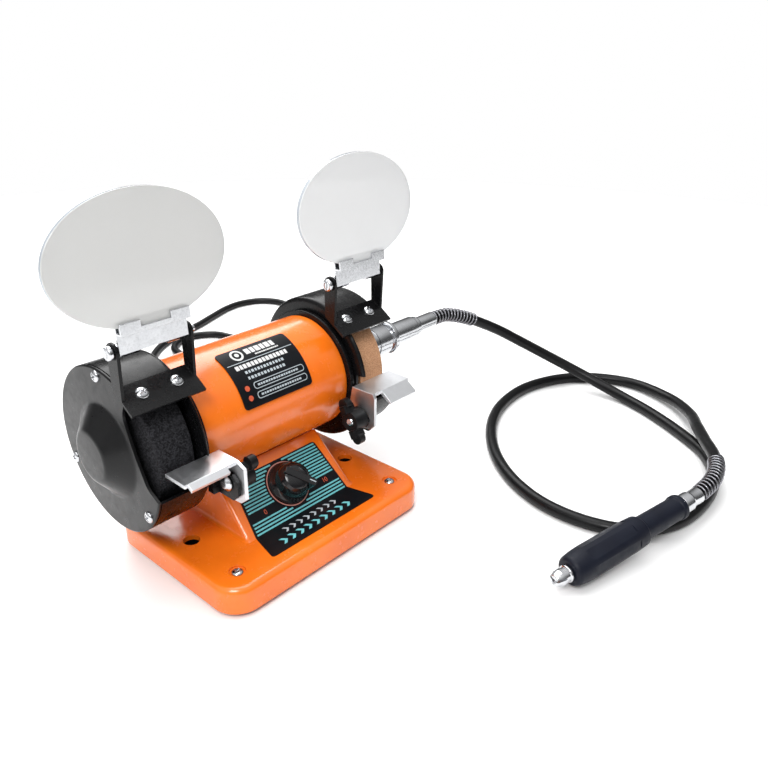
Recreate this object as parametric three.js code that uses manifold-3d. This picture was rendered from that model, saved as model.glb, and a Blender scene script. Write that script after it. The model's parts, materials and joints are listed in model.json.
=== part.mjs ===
// Mini bench grinder with two wheels, two eye shields, two tool rests and a flexible shaft.
// Millimetres, +Z up, z = 0 is the bench. The motor axis runs along X; -Y is the operator's side.
import * as THREE from 'three'
import { mergeVertices } from 'three/addons/utils/BufferGeometryUtils.js'
import Module from 'manifold-3d'

const wasm = await Module()
wasm.setup()

// ---------- driving dimensions ----------
const GAP = 0.3
const ROUND = 36
const MEDIUM = 24
const SMALL = 16
const AXIS_Y = 16.5
const AXIS_Z = 75
const FOOT_HEIGHT = 2

const BASE_SCREW_BOSS = 5
const BASE = { width: 148, depth: 108, height: 15.5, corner: 15, wall: 3, edge: 4, taper: 0.022 }
const BASE_Y = -7.5
const BASE_TOP = FOOT_HEIGHT + BASE.height
const CORNER_INSET = 15.5
const BENCH_HOLE = { x: 59, radius: 4.5, boss: 8 }

const PANEL = { creaseY: -32.5, slope: Math.PI / 4, halfWidth: 40 }
const PEDESTAL = { sunk: 13.5, rise: 40, taper: 0.06, backFoot: 41, backTop: 36 }
const LABEL = { thick: 0.6, top: 34, halfTop: 31, halfCrease: 35, halfFront: 39.5, flap: 19 }
const KNOB = { along: 18.6, skirt: 12.5, body: 10, height: 15 }

const HOUSING = { radius: 35, wall: 1.6, half: 51 }
const BELL = { flange: 38, end: 54.7, hub: 17, bore: 5.4 }
const NAMEPLATE = { half: 24, low: 17, high: 75, thick: 0.5 }
const BEARING = { outer: 13, bore: 5, width: 8, at: 44.6 }
const SHAFT = { radius: 4.7, core: 6, shoulder: 44, half: 92.4 }

const GUARD = { radius: 45, sheet: 1.6, inner: 55.3, outer: 84.1, hole: 9.5 }
const OPENING = { low: -18, high: 50 }
const COVER = { inside: 84.4, sheet: 1.6, dome: 25, flat: 13.5, rise: 9.5 }
const POST = { orbit: 40.9, radius: 2.6, angles: [90, 206, 322] }
const WHEEL = { radius: 37.5, inner: 60, width: 20 }
const FLANGE = { radius: 14, thick: 2.3 }

const FORK = {
  centre: 68.6, half: 20.6, sheet: 1.6, angle: 56, low: -11.5, high: 5.6, screw: 9.6, screwAlong: -1.6,
}
const HINGE = { forward: 25, up: 61, ear: 4.6, pin: 1.8, head: 3.6 }
const SHIELD = {
  halfWidth: 45.5, halfHeight: 30.7, thick: 2.5, centre: 40, outward: 1.2, lean: -5, offset: 3.9,
}
const CLAMP = {
  barrel: 3.4, lug: 11, sheet: 1.2, low: -1.5, high: 14, lip: 1.5, tabWidth: 10.5, tabRise: 4.5,
}

const REST = {
  sheet: 2, top: -1, back: 39, front: 55, leg: 46.5, outer: 78.5, arm: 48.8, travel: 7,
  lip: { from: 54, to: 76.5, thick: 1.8, left: { reach: 3, drop: 2.4 }, right: { reach: 7.6, drop: 5.5 } },
  set: { left: { out: 0, up: 0 }, right: { out: 4.5, up: 4.5 } },
}
const REST_BOLT = { forward: 50, up: -14, stud: 2.4, head: 4.4, wingTurn: 60 }

const CORD = { radius: 3.1, exitX: 24, exitZ: 9.5 }
const FLEX = { radius: 4 }

// ---------- materials ----------
const finish = (color, roughness, metalness, extra = {}) =>
  new THREE.MeshStandardMaterial({ color, roughness, metalness, ...extra })
const ORANGE = finish('#e8631a', 0.3, 0.1)
const BLACK_PAINT = finish('#121214', 0.35, 0.3)
const BLACK_PLASTIC = finish('#161618', 0.45, 0)
const BLACK_LABEL = finish('#141519', 0.4, 0)
const CHROME = finish('#d5d8dc', 0.16, 1)
const STEEL = finish('#a4a7ab', 0.35, 1)
const COPPER = finish('#b4622f', 0.35, 1)
const RUBBER = finish('#1a1a1b', 0.9, 0)
const CORD_SHEATH = finish('#131315', 0.5, 0)
const GRIP = finish('#171a24', 0.7, 0)
const GREY_WHEEL = finish('#3a3a3e', 0.95, 0)
const TAN_WHEEL = finish('#b07a57', 0.9, 0)
const BOARD = finish('#1f5a36', 0.6, 0)
const CLEAR = finish('#e4e8e8', 0.06, 0, { transparent: true, opacity: 0.3 })

// ---------- solids ----------
function solid(geometry) {
  geometry.deleteAttribute('normal')
  geometry.deleteAttribute('uv')
  const merged = mergeVertices(geometry, 1e-4)
  const place = merged.getAttribute('position')
  const index = merged.getIndex().array
  const volume = signedVolume(place, index)
  const triVerts = new Uint32Array(index)
  if (volume < 0) {
    for (let i = 0; i < triVerts.length; i += 3) {
      const swap = triVerts[i]
      triVerts[i] = triVerts[i + 1]
      triVerts[i + 1] = swap
    }
  }
  const shape = new wasm.Mesh({ numProp: 3, vertProperties: new Float32Array(place.array), triVerts })
  shape.merge()
  return new wasm.Manifold(shape)
}

function signedVolume(place, index) {
  const [a, b, c] = [new THREE.Vector3(), new THREE.Vector3(), new THREE.Vector3()]
  let volume = 0
  for (let i = 0; i < index.length; i += 3) {
    a.fromBufferAttribute(place, index[i])
    b.fromBufferAttribute(place, index[i + 1])
    c.fromBufferAttribute(place, index[i + 2])
    volume += a.dot(b.cross(c))
  }
  return volume
}

const join = (...pieces) => pieces.reduce((whole, piece) => whole.add(piece))
const cut = (whole, ...pieces) => pieces.reduce((left, piece) => left.subtract(piece), whole)
const radians = degrees => THREE.MathUtils.degToRad(degrees)
const polar = (radius, degrees) => [radius * Math.cos(radians(degrees)), radius * Math.sin(radians(degrees))]

// A shape drawn in (x, y), pushed up from z0 to z1.
function alongZ(shape, z0, z1, options = {}) {
  const geometry = new THREE.ExtrudeGeometry(shape, { depth: z1 - z0, bevelEnabled: false, ...options })
  return solid(geometry.translate(0, 0, z0))
}

// A shape drawn in (y, z), pushed along X from x0 to x1.
function alongX(shape, x0, x1) {
  const [low, high] = [Math.min(x0, x1), Math.max(x0, x1)]
  const options = { depth: high - low, bevelEnabled: false, curveSegments: 8 }
  const geometry = new THREE.ExtrudeGeometry(shape, options)
  const turn = new THREE.Matrix4().makeBasis(
    new THREE.Vector3(0, 1, 0), new THREE.Vector3(0, 0, 1), new THREE.Vector3(1, 0, 0))
  return solid(geometry.applyMatrix4(turn).translate(low, 0, 0))
}

const polygon = points => new THREE.Shape(points.map(([x, y]) => new THREE.Vector2(x, y)))

// Points given as [forward, up] from the motor axis become a shape in (y, z).
const fromAxis = points => polygon(points.map(([forward, up]) => [AXIS_Y - forward, AXIS_Z + up]))

function roundedRectangle(width, depth, corner, cx = 0, cy = 0) {
  const [w, d] = [width / 2, depth / 2]
  const shape = new THREE.Shape()
  shape.absarc(cx + w - corner, cy + d - corner, corner, 0, Math.PI / 2)
  shape.absarc(cx - w + corner, cy + d - corner, corner, Math.PI / 2, Math.PI)
  shape.absarc(cx - w + corner, cy - d + corner, corner, Math.PI, 1.5 * Math.PI)
  shape.absarc(cx + w - corner, cy - d + corner, corner, 1.5 * Math.PI, 2 * Math.PI)
  shape.closePath()
  return shape
}

function block(width, depth, height, cx, cy, cz) {
  return solid(new THREE.BoxGeometry(width, depth, height).translate(cx, cy, cz))
}

// A closed [radius, height] profile turned about the line from start towards direction.
function turned(profile, segments, start, direction) {
  const points = [...profile, profile[0]].map(([r, h]) => new THREE.Vector2(r, h))
  const geometry = new THREE.LatheGeometry(points, segments)
  const turn = new THREE.Quaternion().setFromUnitVectors(
    new THREE.Vector3(0, 1, 0), direction.clone().normalize())
  return solid(geometry.applyQuaternion(turn).translate(start.x, start.y, start.z))
}

const ALONG_X = new THREE.Vector3(1, 0, 0)
const ALONG_Z = new THREE.Vector3(0, 0, 1)
const AXIS = new THREE.Vector3(0, AXIS_Y, AXIS_Z)

const rodProfile = (radius, h0, h1) => [[0, h0], [radius, h0], [radius, h1], [0, h1]]
const ringProfile = (inner, outer, h0, h1) => [[inner, h0], [outer, h0], [outer, h1], [inner, h1]]

// Pieces turned about the motor axis; side is -1 for left, +1 for right, heights count outwards.
const onAxis = (profile, segments, side = 1) => (
  turned(profile, segments, AXIS, ALONG_X.clone().multiplyScalar(side)))
const upright = (profile, segments, x, y) => turned(profile, segments, new THREE.Vector3(x, y, 0), ALONG_Z)

// ---------- the finished group ----------
const group = new THREE.Group()
group.name = 'mini_bench_grinder'

function part(name, shape, material) {
  const { vertProperties, triVerts, numProp } = shape.getMesh()
  const place = new Float32Array(triVerts.length * 3)
  triVerts.forEach((vertex, i) => {
    for (let k = 0; k < 3; k += 1) {
      place[3 * i + k] = vertProperties[vertex * numProp + k]
    }
  })
  const geometry = new THREE.BufferGeometry()
  geometry.setAttribute('position', new THREE.BufferAttribute(place, 3))
  geometry.computeVertexNormals()
  const mesh = new THREE.Mesh(geometry, material)
  mesh.name = name
  group.add(mesh)
}

const SIDES = [['left', -1], ['right', 1]]
const CORNERS = [['front_left', -1, -1], ['front_right', 1, -1], ['back_left', -1, 1], ['back_right', 1, 1]]
const cornerX = side => side * (BASE.width / 2 - CORNER_INSET)
const cornerY = side => BASE_Y + side * (BASE.depth / 2 - CORNER_INSET)

// ---------- base ----------
function plinth(inset, top, bottom) {
  const bevel = Math.max(BASE.edge - inset, 1)
  const shape = roundedRectangle(
    BASE.width - 2 * (inset + bevel), BASE.depth - 2 * (inset + bevel), BASE.corner - inset - bevel, 0, BASE_Y)
  const body = alongZ(shape, bottom, top - bevel, {
    bevelEnabled: true, bevelSize: bevel, bevelThickness: bevel, bevelSegments: 2, curveSegments: 4 })
  return cut(body, block(BASE.width + 10, BASE.depth + 10, 20, 0, BASE_Y, bottom - 10))
}

// The pedestal from the side: a front that slopes back, a top inside the motor and a nearly upright back.
function pedestalProfile(inset) {
  const { sunk, rise, backFoot, backTop } = PEDESTAL
  const front = PANEL.creaseY + inset * Math.SQRT2
  return polygon([
    [front - sunk, BASE_TOP - sunk], [front + rise, BASE_TOP + rise],
    [backTop - inset, BASE_TOP + rise], [backFoot - inset, BASE_TOP - sunk]])
}

function pedestal(inset) {
  const { sunk, rise, taper } = PEDESTAL
  const half = PANEL.halfWidth - inset
  const sides = polygon([
    [-half, BASE_TOP - sunk], [half, BASE_TOP - sunk],
    [half - taper * rise, BASE_TOP + rise], [taper * rise - half, BASE_TOP + rise]])
  const across = new THREE.ExtrudeGeometry(sides, { depth: 2 * BASE.depth, bevelEnabled: false })
    .rotateX(Math.PI / 2).translate(0, BASE.depth, 0)
  return alongX(pedestalProfile(inset), -half, half).intersect(solid(across))
}

// The motor's wires pass from the housing into the base through one round hole.
const wireHole = () => upright(rodProfile(5, 30, 50), 16, 0, AXIS_Y)

function baseCasting() {
  const outside = join(plinth(0, BASE_TOP, FOOT_HEIGHT), pedestal(0))
  const room = cut(
    join(plinth(BASE.wall, BASE_TOP - BASE.wall, FOOT_HEIGHT - 1), pedestal(BASE.wall)),
    onAxis(rodProfile(HOUSING.radius + GAP + BASE.wall, -60, 60), ROUND))
  let casting = cut(outside, onAxis(rodProfile(HOUSING.radius + GAP, -60, 60), ROUND), room)
  for (const side of [-1, 1]) {
    const x = side * BENCH_HOLE.x
    const boss = rodProfile(BENCH_HOLE.boss, FOOT_HEIGHT + 2, BASE_TOP - 1)
    casting = join(casting, upright(boss, SMALL, x, BASE_Y))
    casting = cut(casting, upright(rodProfile(BENCH_HOLE.radius, -1, BASE_TOP + 1), SMALL, x, BASE_Y))
  }
  for (const [, sx, sy] of CORNERS) {
    const boss = rodProfile(BASE_SCREW_BOSS, FOOT_HEIGHT + 2, BASE_TOP - 1)
    casting = join(casting, upright(boss, 12, cornerX(sx), cornerY(sy)))
    casting = cut(casting, upright(rodProfile(2.3, -1, BASE_TOP + 1), 10, cornerX(sx), cornerY(sy)))
  }
  const potHole = onPanel(rodProfile(4, -8, 4), 16)
  const cordHole = turned(
    rodProfile(5.8, 0, 20), 16, new THREE.Vector3(CORD.exitX, 36, CORD.exitZ), new THREE.Vector3(0, 1, 0))
  return cut(casting, potHole, cordHole, wireHole())
}

function bottomPlate() {
  const inset = BASE.wall + GAP + 0.4
  const shape = roundedRectangle(
    BASE.width - 2 * inset, BASE.depth - 2 * inset, BASE.corner - inset, 0, BASE_Y)
  let plate = alongZ(shape, FOOT_HEIGHT, FOOT_HEIGHT + 1.6, { curveSegments: 6 })
  for (const side of [-1, 1]) {
    plate = cut(plate, upright(rodProfile(BENCH_HOLE.radius, 0, 9), SMALL, side * BENCH_HOLE.x, BASE_Y))
  }
  for (const [, sx, sy] of CORNERS) {
    plate = cut(plate, upright(rodProfile(2.3, 0, 9), 10, cornerX(sx), cornerY(sy)))
  }
  return plate
}

function foot(x, y) {
  const thick = FOOT_HEIGHT - GAP
  return upright(ringProfile(2.3, 8, 0, thick), SMALL, x, y)
}

function makeBase() {
  part('base_casting', baseCasting(), ORANGE)
  part('bottom_plate', bottomPlate(), STEEL)
  for (const [corner, sx, sy] of CORNERS) {
    part(`foot_${corner}`, foot(cornerX(sx), cornerY(sy)), RUBBER)
  }
}

// ---------- control panel ----------
const LABEL_TOP = GAP + LABEL.thick

function panelLabel() {
  const slab = outline => new THREE.ExtrudeGeometry(
    polygon(outline), { depth: LABEL.thick, bevelEnabled: false }).translate(0, 0, GAP)
  const slope = slab([
    [-LABEL.halfCrease, 0], [LABEL.halfCrease, 0], [LABEL.halfTop, LABEL.top], [-LABEL.halfTop, LABEL.top]])
  slope.rotateX(PANEL.slope).translate(0, PANEL.creaseY, BASE_TOP)
  const flap = slab([
    [-LABEL.halfFront, -LABEL.flap], [LABEL.halfFront, -LABEL.flap],
    [LABEL.halfCrease, 0], [-LABEL.halfCrease, 0]])
  flap.translate(0, PANEL.creaseY, BASE_TOP)
  const hole = onPanel(rodProfile(4.4, -8, 6), 16)
  return cut(join(solid(slope), solid(flap)), hole, alongX(pedestalProfile(-GAP), -60, 60))
}

const panelPoint = (along, out) => new THREE.Vector3(
  0,
  PANEL.creaseY + along * Math.cos(PANEL.slope) - out * Math.sin(PANEL.slope),
  BASE_TOP + along * Math.sin(PANEL.slope) + out * Math.cos(PANEL.slope))
const PANEL_NORMAL = panelPoint(0, 1).sub(panelPoint(0, 0))
const onPanel = (profile, segments) => turned(profile, segments, panelPoint(KNOB.along, 0), PANEL_NORMAL)

function speedKnob() {
  const face = LABEL_TOP + 0.6
  const { skirt, body, height } = KNOB
  const grip = onPanel([
    [3.3, face], [skirt, face], [skirt, face + 2.2], [body, face + 3.4], [body - 0.9, height - 1],
    [body - 2, height], [0, height], [0, 9.4], [3.3, 9.4]], MEDIUM)
  const turn = new THREE.Quaternion().setFromUnitVectors(new THREE.Vector3(0, 1, 0), PANEL_NORMAL)
  const place = panelPoint(KNOB.along, 0)
  const pointer = new THREE.BoxGeometry(1.4, 1.2, body - 2).translate(0, height, (body - 2) / 2)
  return join(grip, solid(pointer.applyQuaternion(turn).translate(place.x, place.y, place.z)))
}

function makeControls() {
  const under = -BASE.wall - GAP
  part('panel_label', panelLabel(), BLACK_LABEL)
  part('speed_knob', speedKnob(), BLACK_PLASTIC)
  part('speed_control', onPanel(
    [[0, -12], [8, -12], [8, under], [3.6, under], [3.6, 1], [2.8, 1], [2.8, 9], [0, 9]], SMALL), STEEL)
  part('control_board', block(64, 44, 1.6, 0, 4, FOOT_HEIGHT + 5), BOARD)
}

// ---------- motor ----------
function motorHousing() {
  const { radius, wall, half } = HOUSING
  return cut(onAxis(ringProfile(radius - wall, radius, -half, half), ROUND), wireHole())
}

function endBell(side) {
  const { half, radius, wall } = HOUSING
  const plug = radius - wall - GAP
  const seat = BEARING.outer + GAP
  const deep = BEARING.at + BEARING.width
  return onAxis([
    [BELL.bore, BELL.end], [BELL.flange, BELL.end], [BELL.flange, half + GAP], [plug, half + GAP],
    [plug, half - 0.8], [BELL.hub, half - 0.8],
    [BELL.hub, BEARING.at - 1.6], [seat, BEARING.at - 1.6], [seat, deep], [BELL.bore, deep]], MEDIUM, side)
}

// A slot through the length of a core, at an angle about the motor axis.
function coreSlot(from, to, half, turn) {
  const [c, s] = [Math.cos(turn), Math.sin(turn)]
  const corners = [[from, -half], [to, -half], [to, half], [from, half]]
  return alongX(fromAxis(corners.map(([f, u]) => [f * c - u * s, f * s + u * c])), -30, 30)
}

function stator() {
  const ring = onAxis(ringProfile(21, HOUSING.radius - HOUSING.wall - GAP, -20, 20), MEDIUM)
  return cut(ring, coreSlot(19, 27, 9, Math.PI / 2), coreSlot(19, 27, 9, -Math.PI / 2))
}

function armature() {
  const slots = 8
  let core = onAxis(ringProfile(SHAFT.core + GAP, 19.6, -20, 20), MEDIUM)
  for (let i = 0; i < slots; i += 1) {
    core = cut(core, coreSlot(15, 21, 1, 2 * Math.PI * i / slots))
  }
  return core
}

function coolingFan() {
  const blades = 9
  let fan = join(
    onAxis(ringProfile(SHAFT.core + GAP, 9, 29, 39), SMALL), onAxis(ringProfile(8, 27, 29, 30.4), MEDIUM))
  for (let i = 0; i < blades; i += 1) {
    fan = join(fan, solid(new THREE.BoxGeometry(8, 1.2, 17).translate(34, 0, 17.6)
      .rotateX(2 * Math.PI * i / blades).translate(0, AXIS_Y, AXIS_Z)))
  }
  return fan
}

function shaft() {
  const { core, radius, shoulder, half } = SHAFT
  const chamfer = 0.8
  return onAxis([
    [0, -half], [radius - chamfer, -half], [radius, chamfer - half], [radius, -shoulder], [core, -shoulder],
    [core, shoulder], [radius, shoulder], [radius, half - chamfer], [radius - chamfer, half], [0, half]], SMALL)
}

function wheelSet(name, side, wheelFinish) {
  const { inner, width, radius } = WHEEL
  const bore = SHAFT.radius + GAP
  const outer = inner + width
  const hub = BELL.end + GAP
  const plate = inner - GAP - FLANGE.thick
  part(`flange_inner_${name}`, onAxis([
    [bore, hub], [8, hub], [8, plate], [FLANGE.radius, plate], [FLANGE.radius, inner - GAP],
    [bore, inner - GAP]], SMALL, side), STEEL)
  part(`wheel_${name}`, onAxis(ringProfile(bore, radius, inner, outer), ROUND, side), wheelFinish)
  part(`flange_outer_${name}`, onAxis(
    ringProfile(bore, FLANGE.radius, outer + GAP, outer + GAP + FLANGE.thick), SMALL, side), STEEL)
  const nut = outer + 2 * GAP + FLANGE.thick
  part(`spindle_nut_${name}`, cut(
    onAxis(rodProfile(8.4, nut, nut + 6.5), 6, side), onAxis(rodProfile(bore, 50, 99), SMALL, side)), STEEL)
}

function makeMotor() {
  part('motor_housing', motorHousing(), ORANGE)
  part('nameplate', nameplate(), BLACK_LABEL)
  part('stator', stator(), STEEL)
  for (const [name, side] of SIDES) {
    part(`end_bell_${name}`, endBell(side), BLACK_PAINT)
    part(`bearing_${name}`, onAxis(ringProfile(
      BEARING.bore, BEARING.outer, BEARING.at, BEARING.at + BEARING.width - GAP), SMALL, side), STEEL)
    part(`field_coil_${name}`, onAxis(ringProfile(23, 30, 20 + GAP, 27), SMALL, side), COPPER)
  }
  part('armature', armature(), STEEL)
  part('commutator', onAxis(ringProfile(SHAFT.core + GAP, 10, 28, 40), SMALL, -1), COPPER)
  part('cooling_fan', coolingFan(), BLACK_PLASTIC)
  part('shaft', shaft(), STEEL)
  wheelSet('left', -1, GREY_WHEEL)
  wheelSet('right', 1, TAN_WHEEL)
}

function nameplate() {
  const from = HOUSING.radius + GAP
  const band = onAxis(ringProfile(from, from + NAMEPLATE.thick, -NAMEPLATE.half, NAMEPLATE.half), 2 * ROUND)
  const wedge = fromAxis([[0, 0], polar(60, NAMEPLATE.low), polar(60, NAMEPLATE.high)])
  return band.intersect(alongX(wedge, -NAMEPLATE.half - 1, NAMEPLATE.half + 1))
}

// ---------- wheel guards ----------
function guardShell(name, side) {
  const { radius, sheet, inner, outer, hole } = GUARD
  const drum = onAxis([
    [hole, inner], [radius, inner], [radius, outer], [radius - sheet, outer], [radius - sheet, inner + sheet],
    [hole, inner + sheet]], ROUND, side)
  const mouth = fromAxis([[0, 0], polar(80, OPENING.low), [80, 20], polar(80, OPENING.high)])
  const { up } = REST.set[name]
  const restNotch = fromAxis([[38.4, up - 5], [60, up - 5], [60, up + 2], [38.4, up + 2]])
  let shell = cut(drum, alongX(mouth, side * (inner + sheet + GAP), side * (outer + 10)),
    alongX(restNotch, side * (inner - 1), side * (inner + sheet + 1)))
  for (const degrees of POST.angles) {
    const [forward, up] = polar(POST.orbit, degrees)
    const start = new THREE.Vector3(0, AXIS_Y - forward, AXIS_Z + up)
    shell = join(shell, turned(
      rodProfile(POST.radius, inner + sheet / 2, outer), 8, start, ALONG_X.clone().multiplyScalar(side)))
  }
  return shell
}

function guardCover(side) {
  const { inside, sheet, dome, flat, rise } = COVER
  const top = inside + sheet + rise
  const hole = side > 0 ? 7.6 : 0
  const profile = [
    [GUARD.radius, inside], [GUARD.radius, inside + sheet],
    [dome, inside + sheet], [flat, top], [hole, top], [hole, top - sheet], [flat - 0.6, top - sheet],
    [dome - 1, inside]]
  const frontCut = fromAxis([
    [29, 40], [23.8, 34.4], [19.6, 26], [26.2, 7.6], [34, -8.3],
    [42.3, -12.8], [50, -15], [60, 0], [60, 60]])
  return cut(onAxis(profile, ROUND, side), alongX(frontCut, side * (inside - 5), side * (top + 5)))
}

function makeGuards() {
  for (const [name, side] of SIDES) {
    part(`guard_shell_${name}`, guardShell(name, side), BLACK_PAINT)
    part(`guard_cover_${name}`, guardCover(side), BLACK_PAINT)
  }
}

// ---------- eye shields ----------
const forkNormal = polar(1, FORK.angle)
const forkAlong = [-forkNormal[1], forkNormal[0]]
// A point on the fork's web: out from the motor axis, and along the sheet towards the hinge.
const forkPoint = (out, along) => [
  out * forkNormal[0] + along * forkAlong[0], out * forkNormal[1] + along * forkAlong[1]]

function shieldFork(side) {
  const { centre, half, sheet, low, high, screw, screwAlong } = FORK
  const [near, far] = [GUARD.radius + GAP, GUARD.radius + GAP + sheet]
  const web = alongX(fromAxis([
    forkPoint(near, low), forkPoint(far, low), forkPoint(far, high), forkPoint(near, high)]),
  side * centre - half, side * centre + half)
  const { forward, up, ear } = HINGE
  const outline = fromAxis([forkPoint(near, high), forkPoint(near, high - 8), forkPoint(far, high - 8)])
  outline.absarc(AXIS_Y - forward, AXIS_Z + up, ear, Math.PI, 0, true)
  const ears = [-1, 1].map(end => {
    const edge = side * centre + end * half
    return alongX(outline, edge, edge - end * sheet)
  })
  const [back, rise] = forkPoint(near - 5, screwAlong)
  const holes = [-1, 1].map(end => turned(rodProfile(1.9, 0, 15), 12,
    new THREE.Vector3(side * centre + end * screw, AXIS_Y - back, AXIS_Z + rise),
    new THREE.Vector3(0, -forkNormal[0], forkNormal[1])))
  return cut(join(web, ...ears), hingePin(side, HINGE.pin + GAP, 60), ...holes)
}

const hingePoint = side => new THREE.Vector3(side * FORK.centre, AXIS_Y - HINGE.forward, AXIS_Z + HINGE.up)
const hingePin = (side, radius, half) => turned(rodProfile(radius, -half, half), 12, hingePoint(side), ALONG_X)

// The pin runs through both ears, with its head on the far left end and a nut on the other.
function pivotPin(side) {
  const edge = FORK.half + GAP
  return join(
    hingePin(side, HINGE.pin, edge + 2),
    turned(rodProfile(HINGE.head, -edge - 2.4, -edge), 16, hingePoint(side), ALONG_X),
    turned(rodProfile(HINGE.head, edge, edge + 2.6), 6, hingePoint(side), ALONG_X))
}

// Shield pieces are drawn standing up, with the pin at the origin and the oval sheet in front of it.
function leant(shape, side) {
  const place = hingePoint(side)
  return shape.rotate([SHIELD.lean, 0, 0]).translate([place.x, place.y, place.z])
}

const acrossPin = (radius, x0, x1, segments) => turned(
  rodProfile(radius, x0, x1), segments, new THREE.Vector3(), ALONG_X)

// Two lugs round the pin carry a channel of bent sheet that grips the shield's lower edge.
function shieldClamp(side) {
  const { offset, thick, centre, halfHeight } = SHIELD
  const { barrel, lug, sheet, low, high, lip, tabWidth, tabRise } = CLAMP
  const half = FORK.half - FORK.sheet - 2 * GAP
  const back = GAP - offset
  const front = -offset - thick - GAP
  const floor = centre - halfHeight - GAP
  const plate = (y0, y1, z0, z1, x0 = -half, x1 = half) =>
    block(x1 - x0, y1 - y0, z1 - z0, (x0 + x1) / 2, (y0 + y1) / 2, (z0 + z1) / 2)
  const body = join(
    acrossPin(barrel, -half, lug - half, SMALL),
    acrossPin(barrel, half - lug, half, SMALL),
    plate(back, back + sheet, low, high),
    plate(front - sheet, back + sheet, floor - sheet, floor),
    plate(front - sheet, front, floor - sheet, floor + lip),
    plate(front - sheet, front, floor, floor + tabRise, -half, tabWidth - half),
    plate(front - sheet, front, floor, floor + tabRise, half - tabWidth, half))
  return leant(cut(body, acrossPin(HINGE.pin + GAP, -half - 1, half + 1, 12)), side)
}

function shieldDisc(side) {
  const { halfWidth, halfHeight, thick, centre, outward, offset } = SHIELD
  const oval = new THREE.CylinderGeometry(1, 1, thick, 48)
    .scale(halfWidth, 1, halfHeight).translate(side * outward, -offset - thick / 2, centre)
  return leant(solid(oval.toNonIndexed()), side)
}

function makeShields() {
  for (const [name, side] of SIDES) {
    part(`shield_fork_${name}`, shieldFork(side), BLACK_PAINT)
    part(`shield_pin_${name}`, pivotPin(side), CHROME)
    part(`shield_clamp_${name}`, shieldClamp(side), CHROME)
    part(`shield_disc_${name}`, shieldDisc(side), CLEAR)
  }
}

// ---------- tool rests ----------
// A plate drawn in [forward, up] from the motor axis, between two distances out along X.
const plateAt = (side, from, to, outline) => alongX(fromAxis(outline), side * from, side * to)

const restSlot = (side, from, to, forward0, forward1, half) => {
  const bar = plateAt(side, from, to, [
    [forward0, REST_BOLT.up - half], [forward1, REST_BOLT.up - half], [forward1, REST_BOLT.up + half],
    [forward0, REST_BOLT.up + half]])
  const end = forward => turned(rodProfile(half, from, to), 12,
    new THREE.Vector3(0, AXIS_Y - forward, AXIS_Z + REST_BOLT.up), ALONG_X.clone().multiplyScalar(side))
  return join(bar, end(forward0), end(forward1))
}

function restArm(side) {
  const { arm, leg, sheet } = REST
  const blade = plateAt(side, arm, arm + sheet, [
    [38.9, -8], [54, -8], [58, -11], [58, -19], [54, -23], [38.9, -23]])
  const foot = plateAt(side, arm, GUARD.inner - GAP, [[38.9, -9], [43.5, -9], [43.5, -22], [38.9, -22]])
  const { forward } = REST_BOLT
  return cut(join(blade, foot), restSlot(side, leg, 60, forward, forward + 0.01, REST_BOLT.stud + GAP))
}

// Each rest is set on its bolt by its own amounts, out towards the operator and up.
function toolRest(name, side) {
  const { sheet, top, back, front, leg, outer, lip, set, travel } = REST
  const { out, up } = set[name]
  const { reach, drop } = lip[name]
  const section = [[back, top - sheet], [front, top - sheet], [front, top], [back, top]]
  const plate = plateAt(side, leg, outer, section)
  const apron = plateAt(side, lip.from, lip.to, [
    [front - 2 * sheet, top], [front, top], [front + reach, top - drop],
    [front + reach - lip.thick / 2, top - drop - lip.thick], [front - lip.thick / 2, top - sheet],
    [front - 2 * sheet, top - sheet]])
  const cheek = plateAt(side, leg, leg + sheet, [
    [back, top], [front, top], [61 - out, -3.5], [61 - out, -21], [57 - out, -24.5], [37, -26], [35.8, -16]])
  const placed = join(plate, apron, cheek).translate([0, -out, up])
  const slot = restSlot(side, leg - 1, leg + sheet + 1,
    REST_BOLT.forward + out - travel, REST_BOLT.forward + out, REST_BOLT.stud + GAP)
  return cut(placed, slot)
}

const onBolt = (profile, segments, side) => turned(profile, segments,
  new THREE.Vector3(0, AXIS_Y - REST_BOLT.forward, AXIS_Z + REST_BOLT.up), ALONG_X.clone().multiplyScalar(side))

function restBolt(side) {
  const { stud, head } = REST_BOLT
  const seat = REST.arm + REST.sheet + GAP
  const profile = [[0, seat + 2.4], [head, seat + 2.4], [head, seat], [stud, seat], [stud, 37], [0, 37]]
  return onBolt(profile, 12, side)
}

function wingKnob(side) {
  const { stud } = REST_BOLT
  const face = REST.leg - GAP
  const hub = onBolt([[stud + GAP, face], [7, face], [6.2, face - 9], [stud + GAP, face - 9]], SMALL, side)
  const wings = [-1, 1].map(end => {
    const wing = new THREE.Shape()
    wing.absarc(end * 10.5, 0, 3.6, 0, 2 * Math.PI)
    const web = block(8, 5, 4.4, 0, 0, 0)
    return join(
      alongX(wing, face - 9, face - 4.6), web.translate([face - 6.8, end * 7.5, 0]))
  })
  const pair = join(...wings).rotate([REST_BOLT.wingTurn * side, 0, 0])
    .subtract(alongX(new THREE.Shape().absarc(0, 0, stud + GAP + 0.4, 0, 2 * Math.PI), 20, 60))
  const placed = side > 0 ? pair : pair.mirror([1, 0, 0])
  return join(hub, placed.translate([0, AXIS_Y - REST_BOLT.forward, AXIS_Z + REST_BOLT.up]))
}

function makeToolRests() {
  for (const [name, side] of SIDES) {
    part(`rest_arm_${name}`, restArm(side), BLACK_PAINT)
    part(`tool_rest_${name}`, toolRest(name, side), CHROME)
    part(`rest_bolt_${name}`, restBolt(side), CHROME)
    part(`wing_knob_${name}`, wingKnob(side), BLACK_PLASTIC)
  }
}

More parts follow.
